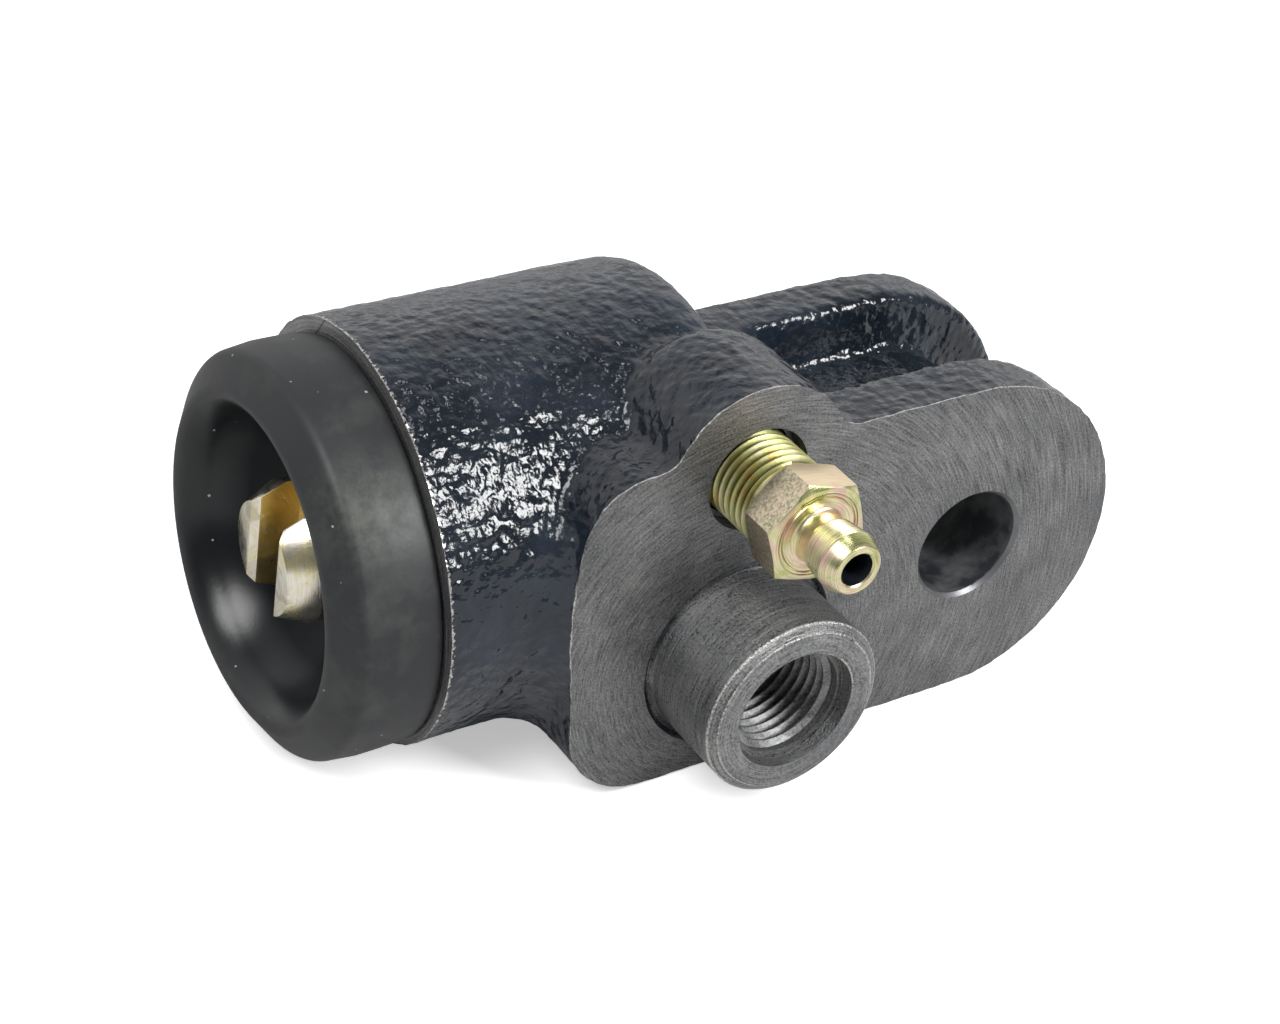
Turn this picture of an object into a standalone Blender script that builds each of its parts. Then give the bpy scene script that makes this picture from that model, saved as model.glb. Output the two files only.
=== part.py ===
"""Wheel cylinder of a drum brake, with one piston and a flanged lug for its mounting bolt.

The origin lies on the machined mounting face, midway between the inlet and the bolt hole and
level with the bore. X runs along the bore towards the lug, -Y points out of the mounting face
and Z is up. Lengths are in metres.
"""
import math

import bmesh
import bpy
from mathutils import Matrix, Vector

MM = 0.001

# Driving dimensions of the casting
BORE_RADIUS = 16.0 * MM
PORTS_TO_FLOOR = 0.3 * MM
CAST_WALL = 6.1 * MM
CAST_DRAFT = 0.25 * MM
CORE_SHIFT = 0.5 * MM
END_WALL = 3.2 * MM
END_ROUND = 4.0 * MM
BORE_MOUTH_CHAMFER = 1.0 * MM
BORE_FLOOR_CHAMFER = 1.0 * MM
FACE_TO_BORE = 24.0 * MM
INLET_TO_BOLT = 28.5 * MM
INLET_TO_SHOULDER = 32.0 * MM
SPIGOT_LENGTH = 6.0 * MM
SPIGOT_WALL = 2.6 * MM
SPIGOT_GROOVE_X = 1.4 * MM
SPIGOT_GROOVE_WIDTH = 2.2 * MM
SPIGOT_GROOVE_DEPTH = 1.0 * MM
SPIGOT_CHAMFER = 0.6 * MM
INLET_HEIGHT = -8.3 * MM
BLEED_HEIGHT = 12.6 * MM
BOLT_HEIGHT = -3.3 * MM

# Mounting flange and lug
FLANGE_TOP = 16.1 * MM
FLANGE_BOTTOM = -21.8 * MM
FLANGE_LEFT_TO_INLET = 19.3 * MM
BOLT_TO_LUG_TIP = 18.4 * MM
TOP_LEFT_ROUND = 7.0 * MM
BOTTOM_LEFT_ROUND = 9.0 * MM
BOTTOM_RIGHT_ROUND = 17.8 * MM
TIP_FLAT = 0.1 * MM
FRONT_FLANGE = 7.0 * MM
CHANNEL_WIDTH = 12.7 * MM
CHANNEL_NECK = 6.5 * MM
REAR_FLANGE = 6.3 * MM
WEB_INSET = 6.2 * MM
BOLT_HOLE_RADIUS = 6.2 * MM
BOLT_HOLE_CHAMFER = 0.4 * MM
WALL_FILLET = 4.0 * MM
WALL_FILLET_LOW = 1.0 * MM
WALL_FILLET_SUNK = 1.5 * MM
WALL_FILLET_FROM = 212
LOBE_DRAFT = 0.8 * MM
SHELL_CORNER = 2.0 * MM
EDGE_ALLOWANCE = 0.4 * MM
SKIN_VOXEL = 0.8 * MM
SKIN_SMOOTHING = 6
SKIN_FACETS_KEPT = 0.085
BORE_STEPS = 64

# Ports in the mounting face
BOSS_RADIUS = 10.0 * MM
BOSS_HEIGHT = 10.6 * MM
BOSS_CHAMFER_HEIGHT = 0.7 * MM
BOSS_CHAMFER_WIDTH = 1.0 * MM
INLET_THREAD_RADIUS = 5.5 * MM
INLET_THREAD_DEPTH = 15.0 * MM
INLET_MOUTH_RADIUS = 6.7 * MM
INLET_MOUTH_DEPTH = 1.6 * MM
INLET_LEAD = 0.4 * MM
RELIEF_WIDTH = 1.05 * MM
RELIEF_DEPTH = 0.45 * MM
PORT_RADIUS = 1.5 * MM
PORT_END_TO_AXIS = 4.0 * MM
DRILL_CONE = 0.6
BLEED_BOSS_RADIUS = 10.4 * MM
BLEED_BOSS_LENGTH = 14.0 * MM
BLEED_BOSS_ROUND = 2.5 * MM
BLEED_RECESS_RADIUS = 5.7 * MM
BLEED_RECESS_DEPTH = 2.5 * MM

# Bleed screw
SCREW_THREAD_RADIUS = 4.9 * MM
SCREW_CORE_RADIUS = 4.4 * MM
SCREW_THREAD_IN = 8.5 * MM
SCREW_THREAD_OUT = 5.7 * MM
SCREW_THREAD_LEAD = 0.6 * MM
SCREW_HEX_FLATS = 10.2 * MM
SCREW_HEX_HEIGHT = 4.6 * MM
SCREW_HEX_TOP_ROUND = 0.7 * MM
SCREW_HEX_TOP_RADIUS = 4.9 * MM
SCREW_HEX_TURN = math.radians(-14.6)
SCREW_NECK_RADIUS = 2.6 * MM
SCREW_NECK_LENGTH = 2.2 * MM
SCREW_NECK_LEAD = 0.4 * MM
SCREW_BARB_RADIUS = 3.5 * MM
SCREW_BARB_STEP = 0.5 * MM
SCREW_BARB_LENGTH = 1.8 * MM
SCREW_TIP_RADIUS = 2.7 * MM
SCREW_TIP_EDGE = 0.45 * MM
SCREW_REACH = 16.8 * MM
SCREW_DRILL_RADIUS = 1.75 * MM

# Piston, its seal and the boot
PISTON_LENGTH = 20.0 * MM
PISTON_LAND = 6.0 * MM
PISTON_EDGE = 0.6 * MM
CHAMBER_LENGTH = 6.0 * MM
STEM_RADIUS = 7.4 * MM
STEM_TIP_RADIUS = 5.9 * MM
STEM_TAPER = 3.2 * MM
TIP_BEYOND_MOUTH = 3.5 * MM
SLOT_WIDTH = 5.2 * MM
SLOT_DEPTH = 5.0 * MM
SLOT_LEAD = 0.7 * MM
SLOT_CORNER = 1.0 * MM
SLOT_TURN = math.radians(8.0)
SEAL_WIDTH = 3.2 * MM
SEAL_EDGE = 0.5 * MM
BOOT_WALL = 2.3 * MM
BOOT_FRONT_TO_SHOULDER = 11.2 * MM
BOOT_SKIRT_END = 5.4 * MM
BOOT_SKIRT_TAPER = 0.25 * MM
BOOT_CREASE_BACK = 3.05 * MM
BOOT_CREASE_RADIUS = 1.6 * MM
BOOT_LIP_RADIUS = 1.3 * MM
BOOT_MOUTH_RADIUS = 15.9 * MM
BOOT_BOWL_DEPTH = 9.0 * MM
BOOT_SKIN = 1.3 * MM
BOOT_EDGE = 0.3 * MM

# Clearances
TOUCH_GAP = 0.3 * MM
RUNNING_GAP = 0.1 * MM
CUT_PAST = 2.0 * MM
ADDED_FROM = 3.0 * MM

# Places worked out from the driving dimensions
INLET_X = -INLET_TO_BOLT / 2
BOLT_X = INLET_TO_BOLT / 2
BORE_Y = FACE_TO_BORE
CAST_RADIUS = BORE_RADIUS + CAST_WALL
SHOULDER_X = INLET_X - INLET_TO_SHOULDER
MOUTH_X = SHOULDER_X - SPIGOT_LENGTH
FLOOR_X = INLET_X + PORT_RADIUS + PORTS_TO_FLOOR
END_X = FLOOR_X + END_WALL
FLANGE_LEFT = INLET_X - FLANGE_LEFT_TO_INLET
LUG_TIP_X = BOLT_X + BOLT_TO_LUG_TIP
CHANNEL_ROOT_X = END_X + CHANNEL_NECK
REAR_FLANGE_Y = FRONT_FLANGE + CHANNEL_WIDTH
TOP_RIGHT_ROUND = FLANGE_TOP - FLANGE_BOTTOM - BOTTOM_RIGHT_ROUND - TIP_FLAT
LUG_BACK_Y = REAR_FLANGE_Y + REAR_FLANGE
SPIGOT_RADIUS = BORE_RADIUS + SPIGOT_WALL
BOOT_RADIUS = SPIGOT_RADIUS + TOUCH_GAP + BOOT_WALL
BOOT_FRONT_X = SHOULDER_X - BOOT_FRONT_TO_SHOULDER
TIP_X = MOUTH_X - TIP_BEYOND_MOUTH
PISTON_REAR_X = FLOOR_X - CHAMBER_LENGTH
PISTON_FRONT_X = PISTON_REAR_X - PISTON_LENGTH
PISTON_RADIUS = BORE_RADIUS - RUNNING_GAP
SEAL_GROOVE_END = PISTON_REAR_X - PISTON_LAND
SEAL_GROOVE_START = SEAL_GROOVE_END - SEAL_WIDTH - TOUCH_GAP
PORT_END = PORT_END_TO_AXIS - FACE_TO_BORE

CAST_IRON = ("black_painted_cast_iron", (0.024, 0.028, 0.034, 1.0), 0.35, 0.3)
RUBBER = ("black_rubber", (0.040, 0.042, 0.046, 1.0), 0.55, 0.0)
PLATED_STEEL = ("yellow_zinc_plated_steel", (0.62, 0.54, 0.34, 1.0), 0.28, 1.0)
SEAL_RUBBER = ("seal_rubber", (0.015, 0.015, 0.016, 1.0), 0.5, 0.0)


def clear_scene():
    """Removes the objects that a new file starts with."""
    for thing in list(bpy.data.objects):
        bpy.data.objects.remove(thing, do_unlink=True)


def material(name, colour, roughness, metallic):
    """Returns a plain Principled material."""
    made = bpy.data.materials.new(name)
    made.use_nodes = True
    shader = made.node_tree.nodes["Principled BSDF"]
    shader.inputs["Base Color"].default_value = colour
    shader.inputs["Roughness"].default_value = roughness
    shader.inputs["Metallic"].default_value = metallic
    made.diffuse_color = colour
    return made


def new_object(name, bm, location=(0, 0, 0)):
    """Turns a bmesh into an object at a place of its own."""
    bmesh.ops.recalc_face_normals(bm, faces=bm.faces)
    mesh = bpy.data.meshes.new(name)
    bm.to_mesh(mesh)
    bm.free()
    made = bpy.data.objects.new(name, mesh)
    made.location = location
    bpy.context.collection.objects.link(made)
    return made


def finish(made, look, sharp_degrees=35):
    """Gives an object its material and shades its round faces smooth."""
    made.data.materials.append(material(*look))
    made.data.shade_smooth()
    made.data.set_sharp_from_angle(angle=math.radians(sharp_degrees))


def arc(centre, radius, start, end, steps):
    """Points along an arc in the profile plane; angles in degrees."""
    points = []
    for i in range(steps + 1):
        angle = math.radians(start + (end - start) * i / steps)
        points.append((centre[0] + radius * math.cos(angle), centre[1] + radius * math.sin(angle)))
    return points


def turned(profile, steps=64, axis="X"):
    """Spins a closed profile of (along, radius) points about X, or about -Y from the face."""
    bm = bmesh.new()
    verts = [bm.verts.new((along, radius, 0)) for along, radius in profile]
    edges = [bm.edges.new((verts[i - 1], verts[i])) for i in range(len(verts))]
    bmesh.ops.spin(bm, geom=verts + edges, cent=(0, 0, 0), axis=(1, 0, 0), angle=2 * math.pi,
                   steps=steps, use_merge=True)
    bmesh.ops.remove_doubles(bm, verts=bm.verts, dist=0.001 * MM)
    loose = [edge for edge in bm.edges if not edge.link_faces]
    bmesh.ops.delete(bm, geom=loose, context="EDGES")
    if axis == "-Y":
        bmesh.ops.rotate(bm, verts=bm.verts, cent=(0, 0, 0), matrix=Matrix.Rotation(-math.pi / 2, 3, "Z"))
    return bm


def slab(outline, low_y, high_y, draft=0.0):
    """Extrudes an outline of (x, z) points along Y and draws its far end in by the draft."""
    bm = bmesh.new()
    face = bm.faces.new([bm.verts.new((x, low_y, z)) for x, z in outline])
    grown = bmesh.ops.extrude_face_region(bm, geom=[face])
    moved = [item for item in grown["geom"] if isinstance(item, bmesh.types.BMVert)]
    bmesh.ops.translate(bm, verts=moved, vec=(0, high_y - low_y, 0))
    middle_x = sum(x for x, z in outline) / len(outline)
    middle_z = sum(z for x, z in outline) / len(outline)
    for vert in moved:
        inward = Vector((middle_x - vert.co.x, 0, middle_z - vert.co.z))
        vert.co += draft * inward.normalized()
    bmesh.ops.recalc_face_normals(bm, faces=bm.faces)
    return bm


def rounded_box_outline(left, right, bottom, top, rounds, steps=10):
    """Outline of a rectangle whose corners, from bottom left anticlockwise, have their own rounds."""
    corners = ((left, bottom, 1, 1, 180), (right, bottom, -1, 1, 270),
               (right, top, -1, -1, 0), (left, top, 1, -1, 90))
    points = []
    for (x, z, inward_x, inward_z, start), radius in zip(corners, rounds):
        centre = (x + inward_x * radius, z + inward_z * radius)
        points += arc(centre, radius, start, start + 90, steps)
    return points


def add_into(target, source, offset=(0, 0, 0)):
    """Adds one bmesh's shells to another."""
    bmesh.ops.recalc_face_normals(source, faces=source.faces)
    bmesh.ops.translate(source, verts=source.verts, vec=offset)
    carrier = bpy.data.meshes.new("carrier")
    source.to_mesh(carrier)
    source.free()
    target.from_mesh(carrier)
    bpy.data.meshes.remove(carrier)


def as_cutter(made):
    """Marks an object as a guide that other objects are cut by."""
    made.hide_render = True
    made.display_type = "WIRE"
    return made


def boolean(made, name, operation, other, solver="EXACT"):
    """Adds a Boolean."""
    step = made.modifiers.new(name, "BOOLEAN")
    step.operation = operation
    step.solver = solver
    step.object = other


def machine(body, name, operation, bm, location=(0, 0, 0)):
    """Cuts or adds a turned shape on the casting; EXACT leaves open edges on its fine skin."""
    tool = new_object(name + " tool", bm, location)
    boolean(body, name, operation, as_cutter(tool), "MANIFOLD")


def wall_fillet_shell():
    """The concave fillet between the cylinder's skin and the flange's left wall.

    Its section has two straight sides buried in the casting and a hollow arc between the
    wall and the skin. It follows the flange's left edge and its lower corner.
    """
    lower = BOTTOM_LEFT_ROUND
    centre = (FLANGE_LEFT + lower, FLANGE_BOTTOM + lower)
    least = WALL_FILLET ** 2
    path = []
    steps = 8
    for i, (x, z) in enumerate(arc(centre, lower, WALL_FILLET_FROM, 180, steps)):
        size = WALL_FILLET_LOW + (WALL_FILLET - WALL_FILLET_LOW) * i / steps
        path.append((x, z, (x - centre[0]) / lower, (z - centre[1]) / lower, size))
    rise = (FLANGE_TOP - TOP_LEFT_ROUND - centre[1]) / steps
    for i in range(1, steps + 1):
        path.append((FLANGE_LEFT, centre[1] + rise * i, -1.0, 0.0, WALL_FILLET))
    bm = bmesh.new()
    rings = []
    for x, z, out_x, out_z, size in path:
        ring = []
        section = [(size - size * math.cos(math.radians(a)), size - size * math.sin(math.radians(a)))
                   for a in range(0, 91, 15)]
        sunk = -WALL_FILLET_SUNK
        section += [(size, sunk), (sunk, sunk), (sunk, size)]
        for out, height in section:
            at_z = z + out_z * out
            reach = (CAST_RADIUS + height) ** 2 - (at_z - CORE_SHIFT) ** 2
            y = BORE_Y - math.sqrt(max(reach, least))
            ring.append(bm.verts.new((x + out_x * out, y, at_z)))
        rings.append(ring)
    count = len(section)
    for low, high in zip(rings, rings[1:]):
        for i in range(count):
            bm.faces.new((low[i - 1], low[i], high[i], high[i - 1]))
    bm.faces.new(rings[0])
    bm.faces.new(list(reversed(rings[-1])))
    return bm


def raw_casting():
    """Overlapping closed shells of the sand casting before its skin is blended."""
    bm = bmesh.new()
    cylinder = [(SHOULDER_X - CUT_PAST, 0), (SHOULDER_X - CUT_PAST, CAST_RADIUS)]
    cylinder += arc((END_X - END_ROUND, CAST_RADIUS - CAST_DRAFT - END_ROUND), END_ROUND, 90, 0, 6)
    cylinder += [(END_X, 0)]
    add_into(bm, turned(cylinder, 72), (0, BORE_Y, CORE_SHIFT))
    rounds = (BOTTOM_LEFT_ROUND, BOTTOM_RIGHT_ROUND, TOP_RIGHT_ROUND, TOP_LEFT_ROUND)
    plate = rounded_box_outline(FLANGE_LEFT, LUG_TIP_X, FLANGE_BOTTOM, FLANGE_TOP, rounds, 12)
    add_into(bm, slab(plate, -CUT_PAST, FRONT_FLANGE))
    lobe = rounded_box_outline(FLANGE_LEFT, CHANNEL_ROOT_X, FLANGE_BOTTOM, FLANGE_TOP,
                               (BOTTOM_LEFT_ROUND, SHELL_CORNER, SHELL_CORNER, TOP_LEFT_ROUND))
    add_into(bm, slab(lobe, -CUT_PAST, BORE_Y, LOBE_DRAFT))
    neck_left = END_X - END_WALL
    neck = rounded_box_outline(neck_left, CHANNEL_ROOT_X, FLANGE_BOTTOM, FLANGE_TOP, (SHELL_CORNER,) * 4)
    add_into(bm, slab(neck, FRONT_FLANGE / 2, LUG_BACK_Y))
    rear_rounds = (SHELL_CORNER, BOTTOM_RIGHT_ROUND, TOP_RIGHT_ROUND + EDGE_ALLOWANCE, SHELL_CORNER)
    rear = rounded_box_outline(neck_left, LUG_TIP_X + EDGE_ALLOWANCE, FLANGE_BOTTOM,
                               FLANGE_TOP + EDGE_ALLOWANCE, rear_rounds, 12)
    add_into(bm, slab(rear, REAR_FLANGE_Y, LUG_BACK_Y))
    web_rounds = (SHELL_CORNER, BOTTOM_RIGHT_ROUND - WEB_INSET, TOP_RIGHT_ROUND - WEB_INSET, SHELL_CORNER)
    web = rounded_box_outline(neck_left, LUG_TIP_X - WEB_INSET, FLANGE_BOTTOM + WEB_INSET,
                              FLANGE_TOP - WEB_INSET, web_rounds, 12)
    add_into(bm, slab(web, FRONT_FLANGE / 2, LUG_BACK_Y - REAR_FLANGE / 2))
    boss = [(CUT_PAST, 0), (CUT_PAST, BLEED_BOSS_RADIUS)]
    boss += arc((BLEED_BOSS_ROUND - BLEED_BOSS_LENGTH, BLEED_BOSS_RADIUS - BLEED_BOSS_ROUND),
                BLEED_BOSS_ROUND, 90, 180, 6)
    boss += [(-BLEED_BOSS_LENGTH, 0)]
    add_into(bm, turned(boss, 48, axis="-Y"), (INLET_X, 0, BLEED_HEIGHT))
    add_into(bm, wall_fillet_shell())
    return bm


def spigot_profile():
    """Section of the machined spigot that carries the boot, with the groove for its bead."""
    groove_far = SHOULDER_X - SPIGOT_GROOVE_X
    groove_near = groove_far - SPIGOT_GROOVE_WIDTH
    groove_radius = SPIGOT_RADIUS - SPIGOT_GROOVE_DEPTH
    return [(SHOULDER_X + ADDED_FROM, 0), (SHOULDER_X + ADDED_FROM, SPIGOT_RADIUS),
            (groove_far, SPIGOT_RADIUS), (groove_far, groove_radius),
            (groove_near, groove_radius), (groove_near, SPIGOT_RADIUS),
            (MOUTH_X + SPIGOT_CHAMFER, SPIGOT_RADIUS), (MOUTH_X, SPIGOT_RADIUS - SPIGOT_CHAMFER),
            (MOUTH_X, 0)]


def cylinder_body():
    """The casting with its machined faces, bores and ports."""
    body = new_object("cylinder_body", raw_casting())
    skin = body.modifiers.new("blend the cast shells", "REMESH")
    skin.mode = "VOXEL"
    skin.voxel_size = SKIN_VOXEL
    soften = body.modifiers.new("soften the cast edges", "SMOOTH")
    soften.factor = 0.5
    soften.iterations = SKIN_SMOOTHING
    thin = body.modifiers.new("fewer facets", "DECIMATE")
    thin.ratio = SKIN_FACETS_KEPT

    reach = 2 * (LUG_TIP_X - SHOULDER_X)
    bore_axis = (0, BORE_Y, 0)
    inlet_axis = (INLET_X, 0, INLET_HEIGHT)
    mill = slab([(-reach, -reach), (reach, -reach), (reach, reach), (-reach, reach)], -reach, 0)
    machine(body, "mill the mounting face", "DIFFERENCE", mill)
    wide = 2 * CAST_RADIUS
    facing = [(-reach, 0), (-reach, wide), (SHOULDER_X, wide), (SHOULDER_X, 0)]
    machine(body, "face the shoulder", "DIFFERENCE", turned(facing, 32), bore_axis)

    relief_rim = BOSS_RADIUS + RELIEF_WIDTH
    relief = [(CUT_PAST, 0), (CUT_PAST, relief_rim + CUT_PAST),
              (-RELIEF_DEPTH, relief_rim - RELIEF_DEPTH), (-RELIEF_DEPTH, 0)]
    machine(body, "relief round the boss", "DIFFERENCE", turned(relief, 64, axis="-Y"), inlet_axis)
    machine(body, "turned spigot", "UNION", turned(spigot_profile(), BORE_STEPS), bore_axis)
    boss_profile = [(-ADDED_FROM, 0), (-ADDED_FROM, BOSS_RADIUS),
                    (BOSS_HEIGHT - BOSS_CHAMFER_HEIGHT, BOSS_RADIUS),
                    (BOSS_HEIGHT, BOSS_RADIUS - BOSS_CHAMFER_WIDTH), (BOSS_HEIGHT, 0)]
    machine(body, "turned inlet boss", "UNION", turned(boss_profile, 64, axis="-Y"), inlet_axis)

    bore = [(MOUTH_X - CUT_PAST, 0), (MOUTH_X - CUT_PAST, BORE_RADIUS + BORE_MOUTH_CHAMFER + CUT_PAST),
            (MOUTH_X + BORE_MOUTH_CHAMFER, BORE_RADIUS), (FLOOR_X - BORE_FLOOR_CHAMFER, BORE_RADIUS),
            (FLOOR_X, BORE_RADIUS - BORE_FLOOR_CHAMFER), (FLOOR_X, 0)]
    machine(body, "bore", "DIFFERENCE", turned(bore, BORE_STEPS), bore_axis)

    thread_end = BOSS_HEIGHT - INLET_THREAD_DEPTH
    inlet = [(BOSS_HEIGHT + CUT_PAST, 0), (BOSS_HEIGHT + CUT_PAST, INLET_MOUTH_RADIUS),
             (BOSS_HEIGHT - INLET_MOUTH_DEPTH, INLET_MOUTH_RADIUS),
             (BOSS_HEIGHT - INLET_MOUTH_DEPTH - INLET_LEAD, INLET_THREAD_RADIUS),
             (thread_end, INLET_THREAD_RADIUS),
             (thread_end - (INLET_THREAD_RADIUS - PORT_RADIUS) * DRILL_CONE, PORT_RADIUS),
             (PORT_END, PORT_RADIUS), (PORT_END, 0)]
    machine(body, "inlet bore", "DIFFERENCE", turned(inlet, 48, axis="-Y"), inlet_axis)

    tapped = SCREW_THREAD_RADIUS + TOUCH_GAP
    screw_in = -SCREW_THREAD_IN - TOUCH_GAP
    seat = [(CUT_PAST, 0), (CUT_PAST, BLEED_RECESS_RADIUS), (-BLEED_RECESS_DEPTH, BLEED_RECESS_RADIUS),
            (-BLEED_RECESS_DEPTH, tapped), (screw_in, tapped),
            (screw_in - (tapped - PORT_RADIUS), PORT_RADIUS), (PORT_END, PORT_RADIUS), (PORT_END, 0)]
    machine(body, "bleed bore", "DIFFERENCE", turned(seat, 48, axis="-Y"), (INLET_X, 0, BLEED_HEIGHT))

    flare = BOLT_HOLE_RADIUS + BOLT_HOLE_CHAMFER + CUT_PAST
    bolt = [(CUT_PAST, 0), (CUT_PAST, flare), (-BOLT_HOLE_CHAMFER, BOLT_HOLE_RADIUS),
            (BOLT_HOLE_CHAMFER - LUG_BACK_Y, BOLT_HOLE_RADIUS),
            (-LUG_BACK_Y - CUT_PAST, flare), (-LUG_BACK_Y - CUT_PAST, 0)]
    machine(body, "bolt hole", "DIFFERENCE", turned(bolt, 64, axis="-Y"), (BOLT_X, 0, BOLT_HEIGHT))
    finish(body, CAST_IRON)
    return body


def piston():
    """Turned steel piston: head with its seal groove, stem with a slotted and tapered end."""
    seal_floor = PISTON_RADIUS - SEAL_WIDTH
    profile = [(TIP_X, 0), (TIP_X, STEM_TIP_RADIUS), (TIP_X + STEM_TAPER, STEM_RADIUS),
               (PISTON_FRONT_X, STEM_RADIUS), (PISTON_FRONT_X, PISTON_RADIUS - PISTON_EDGE),
               (PISTON_FRONT_X + PISTON_EDGE, PISTON_RADIUS),
               (SEAL_GROOVE_START, PISTON_RADIUS), (SEAL_GROOVE_START, seal_floor),
               (SEAL_GROOVE_END, seal_floor), (SEAL_GROOVE_END, PISTON_RADIUS),
               (PISTON_REAR_X - PISTON_EDGE, PISTON_RADIUS), (PISTON_REAR_X, PISTON_RADIUS - PISTON_EDGE),
               (PISTON_REAR_X, 0)]
    local = [(x - TIP_X, r) for x, r in profile]
    made = new_object("piston", turned(local, 60), (TIP_X, BORE_Y, 0))
    made.rotation_euler = (SLOT_TURN, 0, 0)
    half = SLOT_WIDTH / 2
    wide = half + SLOT_LEAD
    corner_x = SLOT_DEPTH - SLOT_CORNER
    outline = [(-CUT_PAST, -wide), (0, -wide), (SLOT_LEAD, -half), (corner_x, -half),
               (SLOT_DEPTH, -half + SLOT_CORNER), (SLOT_DEPTH, half - SLOT_CORNER),
               (corner_x, half), (SLOT_LEAD, half), (0, wide), (-CUT_PAST, wide)]
    slot = new_object("slot_cutter", slab(outline, -2 * STEM_RADIUS, 2 * STEM_RADIUS), (TIP_X, BORE_Y, 0))
    slot.rotation_euler = (SLOT_TURN + math.pi / 2, 0, 0)
    boolean(made, "slot for the shoe", "DIFFERENCE", as_cutter(slot))
    finish(made, PLATED_STEEL)
    return made


def piston_seal():
    """Rubber ring in the piston's groove."""
    start = SEAL_GROOVE_START + TOUCH_GAP / 2
    outer = BORE_RADIUS - RUNNING_GAP / 2
    inner = PISTON_RADIUS - SEAL_WIDTH + RUNNING_GAP
    profile = [(SEAL_EDGE, inner), (0, inner + SEAL_EDGE), (0, outer - SEAL_EDGE), (SEAL_EDGE, outer),
               (SEAL_WIDTH - SEAL_EDGE, outer), (SEAL_WIDTH, outer - SEAL_EDGE),
               (SEAL_WIDTH, inner + SEAL_EDGE), (SEAL_WIDTH - SEAL_EDGE, inner)]
    made = new_object("piston_seal", turned(profile, 60), (start, BORE_Y, 0))
    finish(made, SEAL_RUBBER)
    return made


def funnel(mouth_x, stem, depth):
    """A point on the boot's funnel, from its mouth at depth 0 down to the stem at depth 1."""
    wide = math.cos(math.pi / 2 * depth) ** 2
    return mouth_x + BOOT_BOWL_DEPTH * depth, stem + (BOOT_MOUTH_RADIUS - stem) * wide


def dust_boot():
    """Moulded rubber boot: skirt over the spigot, coned front, rounded lip and deep bowl to the stem."""
    rear = SHOULDER_X - TOUCH_GAP
    inside = SPIGOT_RADIUS + TOUCH_GAP
    bead = SPIGOT_RADIUS - SPIGOT_GROOVE_DEPTH + TOUCH_GAP
    bead_rear = SHOULDER_X - SPIGOT_GROOVE_X - TOUCH_GAP
    bead_front = SHOULDER_X - SPIGOT_GROOVE_X - SPIGOT_GROOVE_WIDTH + TOUCH_GAP
    crease = (BOOT_FRONT_X + BOOT_CREASE_BACK, BOOT_RADIUS - BOOT_SKIRT_TAPER - BOOT_CREASE_RADIUS)
    lip = (BOOT_FRONT_X + BOOT_LIP_RADIUS, BOOT_MOUTH_RADIUS + BOOT_LIP_RADIUS)
    along, out = crease[0] - lip[0], crease[1] - lip[1]
    # the coned front is the line that touches both rounds, so it leaves and meets them at one angle
    spread = (BOOT_LIP_RADIUS - BOOT_CREASE_RADIUS) / math.hypot(along, out)
    tangent = math.atan2(out, along) + math.acos(spread)
    steps = 6
    profile = [(rear, inside), (rear, BOOT_RADIUS - BOOT_EDGE), (rear - BOOT_EDGE, BOOT_RADIUS),
               (BOOT_FRONT_X + BOOT_SKIRT_END, BOOT_RADIUS)]
    profile += arc(crease, BOOT_CREASE_RADIUS, 90, math.degrees(tangent), steps // 2)
    profile += arc(lip, BOOT_LIP_RADIUS, math.degrees(tangent), 270, steps)
    stem = STEM_RADIUS + TOUCH_GAP
    wall = [funnel(lip[0], stem, i / steps) for i in range(1, steps + 1)]
    profile += wall + [(wall[-1][0] + BOOT_SKIN, stem)]
    hidden = MOUTH_X - 2 * TOUCH_GAP
    from_depth = (hidden - lip[0] - BOOT_SKIN) / BOOT_BOWL_DEPTH
    for i in range(steps + 1):
        x, radius = funnel(lip[0], stem, 1 - (1 - from_depth) * i / steps)
        profile.append((x + BOOT_SKIN, radius + BOOT_SKIN))
    profile += [(hidden, inside), (bead_front, inside), (bead_front, bead), (bead_rear, bead),
                (bead_rear, inside)]
    made = new_object("dust_boot", turned(profile, BORE_STEPS), (0, BORE_Y, 0))
    finish(made, RUBBER, 50)
    return made


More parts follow.
